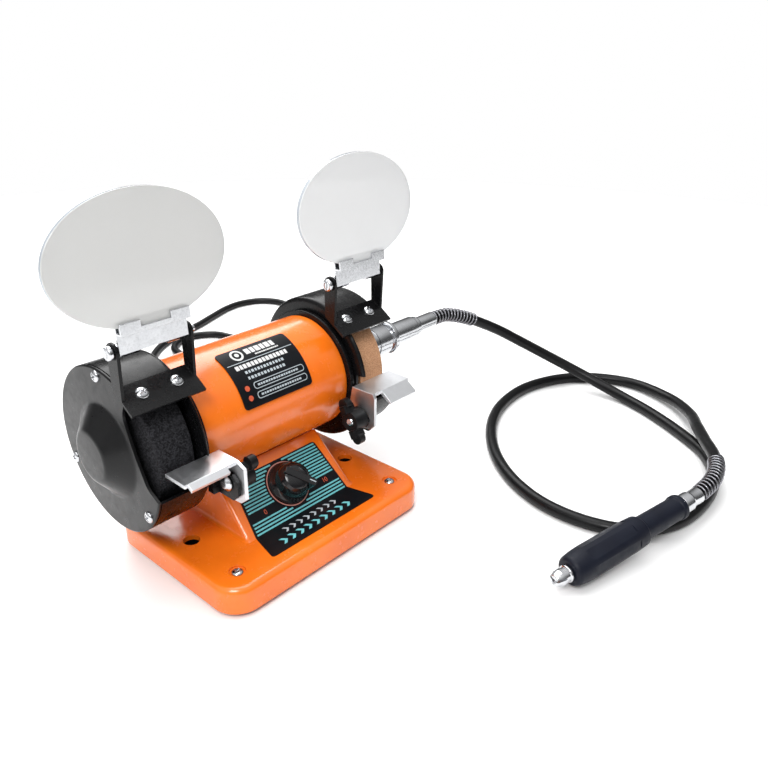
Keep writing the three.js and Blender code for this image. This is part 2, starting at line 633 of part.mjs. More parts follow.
// ---------- mains cord ----------
// Points that the cord's centre runs through, from the strain relief to the coil behind the motor.
const MAINS_ROUTE = [
  [24, 76.8, 9.5], [23.8, 82, 9.2], [22.4, 90, 7.8], [19, 100, 5.6],
  [13.5, 114, 3.9], [9, 131, 3.2], [8, 152, 3.2],
  [17, 176, 3.2], [34, 200, 3.2], [56, 226, 3.2], [80, 252, 3.2], [104, 274, 3.2], [132, 288, 3.2],
  [163, 297, 3.2], [191, 308, 3.2], [213, 316, 3.2], [233, 318, 3.2], [252, 311, 3.2], [263, 295, 3.2],
  [263, 275, 3.2], [252, 254, 3.2], [231, 237, 3.2], [206, 223.5, 3.2], [192, 220, 3.2], [178, 223.8, 3.2],
  [168, 234, 3.2], [164, 248, 3.2], [160.2, 262, 3.2], [150, 272, 3.2], [136, 276, 3.2], [122, 272, 3.2],
  [111.8, 262, 3.2], [108, 248, 3.2], [109, 230, 3.2], [111, 211, 3.2], [110.8, 192, 3.2], [107, 177.8, 3.2],
  [96.8, 167.5, 3.2], [83, 163.6, 3.2],
]
const COIL = { x: 60, y: 126.5, mean: 34, layers: 2 }
const BOOT = { start: 46.8, flange: 1.6, length: 28 }
const PLUG = { tail: 24, body: 30, half: 9.3, prong: 19 }

const routeCurve = points => new THREE.CatmullRomCurve3(
  points.map(point => new THREE.Vector3(...point)), false, 'centripetal')

// A round tube along a route, with sides faces around and a step every stepLength.
function tube(points, radius, sides, stepLength) {
  const path = routeCurve(points)
  const section = polygon(Array.from({ length: sides }, (_, i) => polar(radius, 360 * i / sides)))
  const steps = Math.round(path.getLength() / stepLength)
  return solid(new THREE.ExtrudeGeometry(section, { steps, extrudePath: path, bevelEnabled: false }))
}

function cordGland() {
  const inside = BOOT.start - BASE.wall - 2
  const flangeEnd = BOOT.start + BOOT.flange
  return turned([
    [0, inside], [5.5, inside], [5.5, BOOT.start], [7, BOOT.start], [7, flangeEnd], [5.2, flangeEnd],
    [CORD.radius + 0.9, BOOT.start + BOOT.length + 1.5], [0, BOOT.start + BOOT.length + 1.5]], 16,
  new THREE.Vector3(CORD.exitX, 0, CORD.exitZ), new THREE.Vector3(0, 1, 0))
}

function mainsCoil() {
  const reach = COIL.layers * CORD.radius
  return upright(
    ringProfile(COIL.mean - reach, COIL.mean + reach, 0.1, 2 * reach + GAP), 32, COIL.x, COIL.y)
}

// The plug lies beside the coil, in line with the cord's last straight stretch.
function mainsPlug() {
  const { tail, body, half, prong } = PLUG
  const line = new THREE.Vector3(COIL.x, COIL.y - COIL.mean - CORD.radius, half)
  const start = 22.8
  const end = start + tail + body
  const grip = turned([
    [0, start], [CORD.radius + 0.6, start], [5.2, start + tail], [half, start + tail + 5], [half, end],
    [0, end]], 20, line, ALONG_X)
  const prongs = [-1, 1].map(end1 => turned(rodProfile(2.2, end - 1, end + prong), 10,
    new THREE.Vector3(line.x, line.y, half + 4.6 * end1), ALONG_X))
  return join(grip, ...prongs)
}

function makeMainsCord() {
  part('cord_gland', cordGland(), RUBBER)
  part('mains_cord', tube(MAINS_ROUTE, CORD.radius, 8, 6 * CORD.radius), CORD_SHEATH)
  part('mains_coil', mainsCoil(), CORD_SHEATH)
  part('mains_plug', mainsPlug(), BLACK_PLASTIC)
}

// ---------- flexible shaft ----------
// Points that the sheath's centre runs through, from the adaptor on the right cover to the handpiece.
const FLEX_ROUTE = [
  [176.4, 16.5, 75], [191, 15.8, 74.4], [209, 12.5, 69], [226, 8, 61], [243, 1, 51.5], [258, -9, 41],
  [271, -21, 31], [282, -36, 21.5], [289, -54, 13.5], [291, -72, 8], [289, -90, 5], [283, -108, 4.3],
  [273, -128, 4.3], [261, -148, 4.3], [246, -168, 4.3], [221, -184, 4.3], [187, -191, 4.3], [152, -187, 4.3],
  [128, -171, 4.3], [118, -148, 4.3], [118, -118, 4.3], [133, -83, 4.3], [165, -49, 4.3], [209, -26, 4.3],
  [258, -22, 4.3], [300, -41, 4.3], [320, -78, 4.6], [309, -115, 7], [283, -142, 12], [257, -157.5, 16],
  [235, -171, 18.5], [219.5, -181.3, 20], [202, -189.6, 21.1], [184.5, -193.3, 20.8], [167, -192.3, 19.5],
]
const ADAPTOR = {
  start: 95.8, sleeve: 10.4, sleeveEnd: 124, flangeEnd: 127.5, neck: 8, neckEnd: 156, end: 176,
}
const HANDPIECE_REAR = new THREE.Vector3(150.2, -188.4, 18)
const HANDPIECE_FRONT = new THREE.Vector3(62.9, -166.5, 9.8)
const CHUCK_LENGTH = 10.5
const HANDPIECE_LINE = HANDPIECE_FRONT.clone().sub(HANDPIECE_REAR)

function flexAdaptor() {
  const { start, sleeve, sleeveEnd, flangeEnd, neck, neckEnd, end } = ADAPTOR
  return onAxis([
    [0, start - 2.8], [7.2, start - 2.8], [7.2, start], [sleeve, start], [sleeve, sleeveEnd],
    [sleeve + 1, sleeveEnd], [sleeve + 1, flangeEnd], [neck, flangeEnd], [neck, neckEnd], [5.6, neckEnd + 2],
    [5.6, end], [0, end]], 24)
}

const onHandpiece = (profile, segments) => turned(profile, segments, HANDPIECE_REAR, HANDPIECE_LINE)

function handFerrule() {
  const rear = new THREE.Vector3(...FLEX_ROUTE.at(-1))
  const line = HANDPIECE_REAR.clone().sub(rear)
  const length = line.length()
  return turned([
    [0, 4 * GAP], [5, 4 * GAP], [5, length * 0.55],
    [5.8, length * 0.6], [5.8, length - GAP], [0, length - GAP]],
  SMALL, rear, line)
}

function makeFlexibleShaft() {
  const length = HANDPIECE_LINE.length()
  part('flex_adaptor', flexAdaptor(), CHROME)
  part('flex_sheath', tube(FLEX_ROUTE, FLEX.radius, 10, 5 * FLEX.radius), CORD_SHEATH)
  part('flex_ferrule', handFerrule(), CHROME)
  part('handpiece', onHandpiece([
    [0, 2 * GAP], [7.2, 2 * GAP], [7.6, 2], [7.4, 34], [9, 40], [9.4, 46], [9.4, length - 10], [7.4, length],
    [0, length]], MEDIUM), GRIP)
  part('handpiece_chuck', onHandpiece([
    [0, length + GAP], [5, length + GAP], [5, length + 6],
    [3, length + CHUCK_LENGTH], [0, length + CHUCK_LENGTH]],
  SMALL), CHROME)
}

makeBase()
makeControls()
makeMotor()
makeGuards()
makeShields()
makeToolRests()
makeMainsCord()
makeFlexibleShaft()
export default group
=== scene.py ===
"""Looks of a mini bench grinder with a flexible shaft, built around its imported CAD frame.

Lengths are millimetres in the frame's own axes, and become metres where a vertex is made.
"""
import json
import math

import bmesh
import bpy
from mathutils import Matrix, Vector


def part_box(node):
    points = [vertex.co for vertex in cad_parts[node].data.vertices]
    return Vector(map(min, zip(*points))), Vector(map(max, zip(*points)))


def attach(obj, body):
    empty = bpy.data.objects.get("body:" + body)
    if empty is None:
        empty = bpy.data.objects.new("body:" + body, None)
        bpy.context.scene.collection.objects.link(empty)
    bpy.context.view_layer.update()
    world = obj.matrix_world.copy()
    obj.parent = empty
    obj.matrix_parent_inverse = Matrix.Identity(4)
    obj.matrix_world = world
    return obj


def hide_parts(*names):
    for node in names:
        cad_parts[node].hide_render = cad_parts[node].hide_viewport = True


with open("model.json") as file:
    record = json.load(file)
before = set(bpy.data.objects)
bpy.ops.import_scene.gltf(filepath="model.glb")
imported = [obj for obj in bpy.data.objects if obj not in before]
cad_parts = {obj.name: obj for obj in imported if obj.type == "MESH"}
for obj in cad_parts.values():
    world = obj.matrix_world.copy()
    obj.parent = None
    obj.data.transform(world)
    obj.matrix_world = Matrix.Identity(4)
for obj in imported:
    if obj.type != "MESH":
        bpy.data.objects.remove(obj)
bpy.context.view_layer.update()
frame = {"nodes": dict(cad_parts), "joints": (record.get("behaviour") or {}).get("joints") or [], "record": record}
MM = 0.001
GAP = 0.3
SIDES = (("left", -1), ("right", 1))


# ---------- places, most of them from the frame ---
def extent(node):
    """Lowest and highest corner of a CAD node, in millimetres."""
    low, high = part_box(node)
    return low / MM, high / MM


def joint(name):
    return next(j for j in frame["joints"] if j["name"] == name)


def joint_point(name):
    return Vector(joint(name)["pos_m"]) / MM


AXIS = sum(extent("shaft"), Vector()) / 2
HOUSING_HIGH = extent("motor_housing")[1]
HOUSING_RADIUS = HOUSING_HIGH.z - AXIS.z
SHELL_LOW, SHELL_HIGH = extent("guard_shell_right")
GUARD_RADIUS = SHELL_HIGH.z - AXIS.z
COVER_LOW, COVER_HIGH = extent("guard_cover_right")
WHEEL_LOW, WHEEL_HIGH = extent("wheel_right")
WHEEL_RADIUS = WHEEL_HIGH.z - AXIS.z
BASE_LOW, BASE_HIGH = extent("base_casting")
KNOB_POINT = joint_point("speed_knob_turn")
KNOB_AXIS = Vector(joint("speed_knob_turn")["axis"]).normalized()
# The top of the base's flat part.
BASE_TOP = 17.5
BASE_MIDDLE = Vector(((BASE_LOW.x + BASE_HIGH.x) / 2, (BASE_LOW.y + BASE_HIGH.y) / 2, 0))
PANEL_CREASE = KNOB_POINT.y - (KNOB_POINT.z - BASE_TOP)
CHUCK_POINT = joint_point("chuck_spin")
CHUCK_AXIS = Vector(joint("chuck_spin")["axis"]).normalized()
# The middle of the handpiece's rear face, as in the CAD.
HANDPIECE_REAR = Vector((150.2, -188.4, 18))


def beside(forward, up, x):
    """A point given by its distance in front of and above the motor axis, and its x."""
    return Vector((x, AXIS.y - forward, AXIS.z + up))


def on_panel(x, along, out):
    """A point on the sloped panel: across, up the slope from its crease, and out from it."""
    slope = math.sqrt(0.5)
    return Vector((x, PANEL_CREASE + (along - out) * slope, BASE_TOP + (along + out) * slope))


def polar(radius, degrees):
    angle = math.radians(degrees)
    return Vector((radius * math.cos(angle), radius * math.sin(angle)))


def around(radius, degrees, x):
    """A point round the motor axis; 0 degrees faces the operator and 90 is up."""
    return beside(*polar(radius, degrees), x)


def placed(name, data):
    """A new object in the scene."""
    made = bpy.data.objects.new(name, data)
    bpy.context.scene.collection.objects.link(made)
    return made


# ---------- camera ----------
CAMERA_PLACE = Vector((-242.8, -307.2, 266.6))
CAMERA_YAW = 47.46
CAMERA_PITCH = 24.35


def make_camera():
    data = bpy.data.cameras.new("camera")
    data.sensor_width = 36
    data.lens = 35.73
    data.shift_x = 0.0171
    data.shift_y = -0.0085
    data.clip_start = 0.01
    camera = placed("camera", data)
    camera.location = CAMERA_PLACE * MM
    camera.rotation_euler = (math.radians(90 - CAMERA_PITCH), 0, math.radians(-CAMERA_YAW))
    bpy.context.scene.camera = camera


# ---------- materials ----------
class Nodes:
    """Adds shader nodes to a tree, with a value or a link for each input that is named."""

    def __init__(self, tree):
        self.nodes = tree.nodes
        self.links = tree.links

    def node(self, kind, inputs=None, **settings):
        made = self.nodes.new(kind)
        for key, value in settings.items():
            setattr(made, key, value)
        for key, value in (inputs or {}).items():
            if isinstance(value, bpy.types.NodeSocket):
                self.links.new(value, made.inputs[key])
            else:
                made.inputs[key].default_value = value
        return made

    def level(self, value, low, high, start=0.3, end=0.7, **settings):
        made = self.node("ShaderNodeMapRange", {
            "Value": value, "From Min": start, "From Max": end, "To Min": low, "To Max": high}, **settings)
        return made.outputs["Result"]


class Finish(Nodes):
    """A procedural material: a Principled shader and the nodes that feed it."""

    def __init__(self, name, **sockets):
        self.material = bpy.data.materials.new(name)
        self.material.use_nodes = True
        super().__init__(self.material.node_tree)
        self.shader = self.nodes["Principled BSDF"]
        for socket, value in sockets.items():
            self.shader.inputs[socket.replace("_", " ")].default_value = value
        self.place = self.node("ShaderNodeTexCoord").outputs["Object"]

    def noise(self, scale, detail=3, place=None):
        """Noise with features of about 1 / scale metres, from 0 to 1."""
        made = self.node("ShaderNodeTexNoise", {
            "Vector": place or self.place, "Scale": scale, "Detail": detail, "Roughness": 0.55})
        return made.outputs["Fac"]

    def cells(self, scale, output="Distance"):
        made = self.node("ShaderNodeTexVoronoi", {"Vector": self.place, "Scale": scale})
        return made.outputs[output]

    def blend(self, factor, first, second):
        """A mix of two colours, of which the first may be a node's output."""
        if not isinstance(first, bpy.types.NodeSocket):
            first = (*first, 1)
        made = self.node("ShaderNodeMix", {0: factor, 6: first, 7: (*second, 1)}, data_type="RGBA")
        return made.outputs[2]

    def use(self, socket, value):
        self.links.new(value, self.shader.inputs[socket])
        return self

    def bump(self, *layers):
        """Each layer is a height from 0 to 1 and its depth in millimetres."""
        normal = None
        for height, depth in layers:
            inputs = {"Height": height, "Distance": depth * MM, "Strength": 1.0}
            if normal is not None:
                inputs["Normal"] = normal
            normal = self.node("ShaderNodeBump", inputs).outputs["Normal"]
        return self.use("Normal", normal)


def enamel(name, colour, shade, roughness, coat=0.35, **sockets):
    """Glossy sprayed paint with a faint orange peel, dust and handling marks."""
    made = Finish(name, Coat_Weight=coat, Coat_Roughness=0.12, **sockets)
    smudge = made.noise(28, 4)
    made.use("Base Color", made.blend(made.level(smudge, 0, 1), colour, shade))
    made.use("Roughness", made.level(made.noise(190, 4), roughness, roughness + 0.14))
    return made.bump((made.noise(620, 2), 0.02), (made.noise(3200, 2), 0.004)).material


def moulded(name, colour, shade, roughness, grain=0.02, **sockets):
    """Moulded plastic or rubber with a fine matt grain."""
    made = Finish(name, **sockets)
    made.use("Base Color", made.blend(made.level(made.noise(60, 4), 0, 1), colour, shade))
    made.use("Roughness", made.level(made.noise(240, 3), roughness, roughness + 0.15))
    return made.bump((made.noise(2600, 2), grain), (made.noise(260, 2), grain)).material


def plated(name, colour, shade, roughness, streaks=(1, 1, 1), depth=0.01):
    """Bare or plated metal with fine scratches along one direction and a cloudy sheen."""
    made = Finish(name, Metallic=1.0)
    stretched = made.node("ShaderNodeMapping", {"Vector": made.place, "Scale": streaks})
    fine = made.noise(900, 3, stretched.outputs[0])
    made.use("Base Color", made.blend(made.level(made.noise(80, 4), 0, 1), colour, shade))
    made.use("Roughness", made.level(fine, roughness, roughness + 0.16))
    return made.bump((fine, depth), (made.noise(150, 2), 0.02)).material


def grit(name, colour, grain, dark, size):
    """Bonded abrasive: packed grains of mixed colour with open pores between them."""
    made = Finish(name, Specular_IOR_Level=0.15)
    speckle = made.cells(size, "Color")
    tone = made.node("ShaderNodeSeparateColor", {"Color": speckle}).outputs[0]
    body = made.blend(made.level(tone, 0, 1, 0.1, 0.9), colour, grain)
    pores = made.level(made.noise(size * 0.7, 3), 0, 0.85, 0.55, 0.75)
    made.use("Base Color", made.blend(pores, body, dark))
    made.use("Roughness", made.level(tone, 0.75, 0.98, 0, 1))
    return made.bump((made.cells(size), 0.12), (made.noise(size * 0.5, 3), 0.15)).material


def clear_sheet(name, colour, alpha):
    """Clear acrylic still in its thin film: glossy, a little grey, with faint scuffs."""
    made = Finish(name, Alpha=alpha, Coat_Weight=0.6, Coat_Roughness=0.05, Specular_IOR_Level=0.6)
    haze = made.level(made.noise(14, 2), 0, 1)
    made.use("Base Color", made.blend(haze, colour, [c * 0.97 for c in colour]))
    made.use("Roughness", made.level(made.noise(60, 2), 0.08, 0.13))
    return made.bump((made.noise(25, 2), 0.01)).material


def circuit(name):
    """Green solder mask over darker tracks."""
    made = Finish(name, Coat_Weight=0.2)
    tracks = made.node("ShaderNodeTexBrick", {"Vector": made.place, "Scale": 160}).outputs["Fac"]
    made.use("Base Color", made.blend(tracks, (0.02, 0.16, 0.06), (0.05, 0.26, 0.1)))
    made.use("Roughness", made.level(made.noise(200), 0.3, 0.5))
    return made.bump((tracks, 0.03)).material


def print_ink(name, colour):
    """Screen-printed ink with slightly uneven cover."""
    made = Finish(name)
    cover = made.level(made.noise(900, 3), 0, 1)
    made.use("Base Color", made.blend(cover, colour, [c * 0.8 for c in colour]))
    made.use("Roughness", made.level(made.noise(300), 0.3, 0.5))
    return made.bump((made.noise(2500), 0.006)).material


ORANGE = enamel("orange_enamel", (0.89, 0.19, 0.010), (0.82, 0.15, 0.007), 0.16)
NEAR_BLACK = (0.003, 0.003, 0.0035), (0.005, 0.005, 0.0055)
BLACK = enamel("black_enamel", *NEAR_BLACK, 0.2, coat=0.06, Specular_IOR_Level=0.16)
COVER_PAINT = enamel("cover_enamel", *NEAR_BLACK, 0.26, coat=0.08, Specular_IOR_Level=0.22)
PLASTIC = moulded("black_plastic", (0.004, 0.004, 0.0045), (0.007, 0.007, 0.0075), 0.3,
                  Specular_IOR_Level=0.2)
GLOSS_PLASTIC = moulded("gloss_plastic", (0.006, 0.006, 0.007), (0.009, 0.009, 0.01), 0.1, 0.004)
RUBBER = moulded("rubber", (0.014, 0.014, 0.015), (0.02, 0.02, 0.021), 0.6, Specular_IOR_Level=0.3)
SHEATH = moulded("cord_sheath", *NEAR_BLACK, 0.28, 0.01, Specular_IOR_Level=0.2)
GRIP = moulded("grip_rubber", (0.003, 0.004, 0.01), (0.005, 0.007, 0.015), 0.4, 0.03, Specular_IOR_Level=0.2)
CHROME = plated("chrome", (0.66, 0.67, 0.69), (0.56, 0.57, 0.59), 0.08)
STEEL = plated("steel", (0.52, 0.53, 0.55), (0.4, 0.4, 0.42), 0.25, (1, 8, 8), 0.02)
PLATE = plated("satin_plate", (0.78, 0.79, 0.81), (0.68, 0.69, 0.71), 0.3)
SPRING = plated("spring_steel", (0.34, 0.34, 0.36), (0.22, 0.22, 0.24), 0.2)
COPPER = plated("copper", (0.7, 0.32, 0.16), (0.55, 0.22, 0.1), 0.25, (8, 1, 1), 0.02)
FOIL = moulded("label_foil", (0.003, 0.0035, 0.005), (0.005, 0.006, 0.008), 0.3, 0.004,
               Specular_IOR_Level=0.15)
TAN_GRIT = grit("tan_grit", (0.46, 0.23, 0.12), (0.62, 0.36, 0.21), (0.2, 0.09, 0.045), 2400)
# The grey wheel's colours are near black: a dark wheel, darkened further by painted shade for the shadow of the
# guard's web above it.
GREY_GRIT_SHADED = grit("grey_grit_painted_shade", (0.004, 0.004, 0.005), (0.03, 0.03, 0.034), (0.002, 0.002, 0.002), 1500)
# Both shields are the same clear acrylic; the left one is given a darker grey than the right one as painted shade.
CLEAR_LEFT = clear_sheet("clear_sheet_left", (0.62, 0.62, 0.61), 0.74)
CLEAR_RIGHT = clear_sheet("clear_sheet_right", (0.82, 0.825, 0.83), 0.72)
CLEAR_EDGE = clear_sheet("clear_sheet_edge", (0.42, 0.46, 0.5), 0.85)
BOARD = circuit("circuit_board")
TEAL_INK = print_ink("teal_ink", (0.16, 0.56, 0.6))
PALE_INK = print_ink("pale_ink", (0.5, 0.56, 0.6))
WHITE_INK = print_ink("white_ink", (0.72, 0.72, 0.72))
RED_INK = print_ink("red_ink", (0.62, 0.1, 0.04))
PINK_INK = print_ink("pink_ink", (0.6, 0.25, 0.2))
# The record's material slots. The first finish of each also dresses the CAD pieces that stay in view.
FINISHES = {
    "orange_paint": [ORANGE], "black_paint": [BLACK, COVER_PAINT], "black_plastic": [PLASTIC, GLOSS_PLASTIC],
    "label": [FOIL, TEAL_INK, PALE_INK, WHITE_INK, RED_INK, PINK_INK], "chrome": [CHROME, PLATE],
    "steel": [STEEL, SPRING], "copper": [COPPER], "rubber": [RUBBER], "cord_sheath": [SHEATH],
    "grip": [GRIP], "grey_wheel": [GREY_GRIT_SHADED], "tan_wheel": [TAN_GRIT], "board": [BOARD],
    "clear_shield": [CLEAR_LEFT, CLEAR_RIGHT],
}


# ---------- shapes ----------
def rounded(points, steps=4):
    """An outline from (x, y) corners and (x, y, r) corners that are rounded off by about r."""
    outline = []
    for i, corner in enumerate(points):
        here = Vector(corner[:2])
        if len(corner) < 3:
            outline.append(here)
            continue
        before = (Vector(points[i - 1][:2]) - here).normalized() * corner[2]
        after = (Vector(points[(i + 1) % len(points)][:2]) - here).normalized() * corner[2]
        for k in range(steps + 1):
            t = k / steps
            outline.append(here + before * (1 - t) ** 2 + after * t ** 2)
    return outline


def oblong(width, depth, corner, centre=(0, 0), steps=8):
    """A rectangle with round corners, anticlockwise."""
    points = []
    for k, (sx, sy) in enumerate(((1, 1), (-1, 1), (-1, -1), (1, -1))):
        middle = Vector((centre[0] + sx * (width / 2 - corner), centre[1] + sy * (depth / 2 - corner)))
        points += [middle + polar(corner, 90 * (k + i / steps)) for i in range(steps + 1)]
    return points


def circle(radius, steps=32, centre=(0, 0)):
    return [Vector(centre[:2]) + polar(radius, 360 * i / steps) for i in range(steps)]


def bar(x0, x1, y0, y1):
    return [(x0, y0), (x1, y0), (x1, y1), (x0, y1)]


def upright(u, v, w):
    """Outlines drawn as [x, y] and pushed upwards."""
    return Vector((u, v, w))


def side_on(u, v, w):
    """Outlines drawn as [forward, up] from the motor axis and pushed along X."""
    return beside(u, v, w)


def turned_by(start, direction):
    """Outlines drawn across the line from start along direction."""
    turn = Vector((0, 0, 1)).rotation_difference(Vector(direction))
    return lambda u, v, w: Vector(start) + turn @ Vector((u, v, w))


def thing(name, bm, sharp=35):
    """An object that is shaded smooth except at edges of more than sharp degrees."""
    bmesh.ops.remove_doubles(bm, verts=bm.verts, dist=1e-7)
    bmesh.ops.recalc_face_normals(bm, faces=bm.faces)
    for face in bm.faces:
        face.smooth = True
    for edge in bm.edges:
        edge.smooth = edge.calc_face_angle(0) < math.radians(sharp)
    mesh = bpy.data.meshes.new(name)
    bm.to_mesh(mesh)
    bm.free()
    return placed(name, mesh)


def add_skin(bm, rings):
    """A body through rings of the same number of points, closed at both ends."""
    bm.faces.new(rings[0])
    bm.faces.new(list(reversed(rings[-1])))
    for here, after in zip(rings, rings[1:]):
        for i in range(len(here)):
            k = (i + 1) % len(here)
            bm.faces.new((here[i], here[k], after[k], after[i]))


def add_prism(bm, outline, low, high, place):
    """A closed outline pushed from low to high."""
    add_skin(bm, [[bm.verts.new(place(p[0], p[1], w) * MM) for p in outline] for w in (low, high)])


def prism(name, outline, low, high, place):
    bm = bmesh.new()
    add_prism(bm, outline, low, high, place)
    return thing(name, bm)


def add_lathe(bm, profile, place, steps):
    """A closed (radius, height) outline turned about the middle of place."""
    rings = []
    for i in range(steps):
        rings.append([bm.verts.new(place(*polar(r, 360 * i / steps), h) * MM) for r, h in profile])
    for i in range(steps):
        here, after = rings[i], rings[(i + 1) % steps]
        for k in range(len(profile)):
            m = (k + 1) % len(profile)
            if profile[k][0] < 1e-6 and profile[m][0] < 1e-6:
                continue
            bm.faces.new((here[k], here[m], after[m], after[k]))


def lathe(name, profile, start, direction, steps=96, sharp=35):
    bm = bmesh.new()
    add_lathe(bm, rounded(profile), turned_by(start, direction), steps)
    bmesh.ops.dissolve_degenerate(bm, edges=bm.edges, dist=1e-8)
    return thing(name, bm, sharp)


def on_axis(name, profile, side=1, steps=128):
    return lathe(name, profile, AXIS, (side, 0, 0), steps)


def frozen(made):
    """The same object with its modifiers made part of its mesh."""
    graph = bpy.context.evaluated_depsgraph_get()
    graph.update()
    mesh = bpy.data.meshes.new_from_object(made.evaluated_get(graph))
    made.modifiers.clear()
    made.data = mesh
    return made


def carved(made, *cutters, operation="DIFFERENCE"):
    for cutter in cutters:
        step = made.modifiers.new("carve", "BOOLEAN")
        step.operation = operation
        step.solver = "EXACT"
        step.object = cutter
    frozen(made)
    for cutter in cutters:
        bpy.data.objects.remove(cutter)
    return made


def softened(made, width, segments=3, angle=30):
    """Small round edges wherever faces meet at more than angle."""
    step = made.modifiers.new("edges", "BEVEL")
    step.width = width * MM
    step.segments = segments
    step.limit_method = "ANGLE"
    step.angle_limit = math.radians(angle)
    step.harden_normals = True
    return made


def finished(made, material, replaces=(), body="stand"):
    """Gives a piece its material, the CAD nodes that it stands for, and its body."""
    made.data.materials.clear()
    made.data.materials.append(material)
    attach(made, body)
    next(slot for slot, group in FINISHES.items() if material in group)
    if replaces:
        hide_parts(*replaces)
    return made


def refined(node, width=0.3, sharp=30):
    """A copy of a CAD node's own shape, with its flat faces whole again and its edges rounded."""
    bm = bmesh.new()
    bm.from_mesh(frame["nodes"][node].data)
    bmesh.ops.remove_doubles(bm, verts=bm.verts, dist=2e-6)
    bmesh.ops.dissolve_limit(
        bm, angle_limit=math.radians(1), verts=bm.verts, edges=bm.edges, delimit={"NORMAL"})
    made = thing(f"{node}_shape", bm, sharp)
    return softened(made, width, 3, sharp)


# ---------- base ----------
PLINTH_CORNER = 15
PLINTH_EDGE = 4
WALL = 3
BENCH_HOLE = 59
BENCH_HOLE_RADIUS = 4.5
CORNER_INSET = 15.5
SEAT_RADIUS = 4.4
SCREW_RADIUS = 3.1
PANEL_HALF = 40
PANEL_LEAN = 1 / 15


def tiers(name, levels):
    """A body through outlines at rising heights."""
    bm = bmesh.new()
    add_skin(bm, [[bm.verts.new(Vector((p[0], p[1], z)) * MM) for p in outline] for outline, z in levels])
    return thing(name, bm)


def plinth():
    size = BASE_HIGH - BASE_LOW
    arc = [polar(PLINTH_EDGE, 90 * i / 6) for i in range(7)]
    edge = [(PLINTH_EDGE - at.x, BASE_TOP - PLINTH_EDGE + at.y) for at in arc]
    rim = 0.8
    levels = [(WALL, BASE_TOP - WALL), (WALL, BASE_LOW.z), (rim, BASE_LOW.z), (0, BASE_LOW.z + rim), *edge]
    return tiers("base_plinth", [
        (oblong(size.x - 2 * inset, size.y - 2 * inset, PLINTH_CORNER - inset, BASE_MIDDLE, 10), z)
        for inset, z in levels])


def pedestal():
    """The raised middle of the base: a sloped panel in front, the motor's saddle on top, a flared foot."""
    back, corner, flare = 41, 3, 2.2
    levels = []
    for rise, spread in ((-0.4, flare), (0.3, flare * 0.55), (1.1, flare * 0.2), (2.4, 0), (38, 0)):
        half = PANEL_HALF - PANEL_LEAN * rise
        front = PANEL_CREASE + rise - spread * 0.15
        rear = back - rise / 8 + spread
        levels.append((oblong(
            2 * (half + spread), rear - front, corner, (0, (rear + front) / 2), 6), BASE_TOP + rise))
    body = tiers("base_pedestal", levels)
    reach, half = HOUSING_RADIUS + GAP, BASE_HIGH.x
    return carved(body, on_axis("saddle_cut", [(0, -half), (reach, -half), (reach, half), (0, half)]))


def corners():
    size = BASE_HIGH - BASE_LOW
    for depth_name, sy in (("front", -1), ("back", 1)):
        for name, sx in SIDES:
            x, y = sx * (size.x / 2 - CORNER_INSET), sy * (size.y / 2 - CORNER_INSET)
            yield f"{depth_name}_{name}", Vector((x, BASE_MIDDLE.y + y, BASE_TOP))


def make_base():
    shell = plinth()
    holes = [circle(BENCH_HOLE_RADIUS, 32, (side * BENCH_HOLE, BASE_MIDDLE.y)) for _, side in SIDES]
    cutters = [prism("hole", outline, -5, 30, upright) for outline in holes]
    seats = [circle(SEAT_RADIUS, 32, spot) for _, spot in corners()]
    cutters += [prism("seat", outline, BASE_TOP - 1.3, 30, upright) for outline in seats]
    carved(shell, *cutters)
    finished(softened(shell, 0.35), ORANGE, ["base_casting"])
    raised = finished(softened(pedestal(), 0.35), ORANGE)
    raised.name = "base_pedestal"
    for name, side in SIDES:
        spot = Vector((side * BENCH_HOLE, BASE_MIDDLE.y, 0))
        inner, outer = BENCH_HOLE_RADIUS, BENCH_HOLE_RADIUS + 2
        low, high = 3.6, BASE_TOP - WALL
        tube = lathe(f"bench_sleeve_{name}", [(inner, low), (outer, low), (outer, high), (inner, high)],
                     spot, (0, 0, 1), 32)
        finished(tube, BLACK)
    for name, spot in corners():
        turn = 20 if "left" in name else 65
        place_screw(f"base_screw_{name}", spot - Vector((0, 0, 1.2)), (0, 0, 1), SCREW_RADIUS, turn)
        node = f"foot_{name}"
        low, high = extent(node)
        pad = lathe(f"foot_pad_{name}", [
            (2.3, low.z), (7.4, low.z, 0.5), (8, high.z, 0.3), (2.3, high.z)],
            (spot.x, spot.y, 0), (0, 0, 1), 48)
        finished(pad, RUBBER, [node])


# ---------- screws ----------
def screw_mesh():
    """A round cross-slot head, 1 mm in radius, on the plane z = 0."""
    head = lathe("screw_head", [(0, -0.1), (1, -0.1), (1, 0.16, 0.1), (0.82, 0.42, 0.3), (0, 0.56)],
                 (0, 0, 0), (0, 0, 1), 40)
    bars = [prism("slot_bar", bar(-a, a, -b, b), 0.22, 1, upright) for a, b in ((0.56, 0.12), (0.12, 0.56))]
    carved(head, *bars)
    softened(head, 0.03, 2)
    mesh = frozen(head).data
    bpy.data.objects.remove(head)
    return mesh


SCREW_MESH = screw_mesh()


def place_screw(name, seat, direction, radius, turn=0, body="stand"):
    made = placed(name, SCREW_MESH.copy())
    aim = Vector((0, 0, 1)).rotation_difference(Vector(direction)).to_matrix().to_4x4()
    spin = Matrix.Rotation(math.radians(turn), 4, "Z")
    made.data.transform(Matrix.Translation(Vector(seat) * MM) @ aim @ spin @ Matrix.Scale(radius, 4))
    return finished(made, CHROME, body=body)


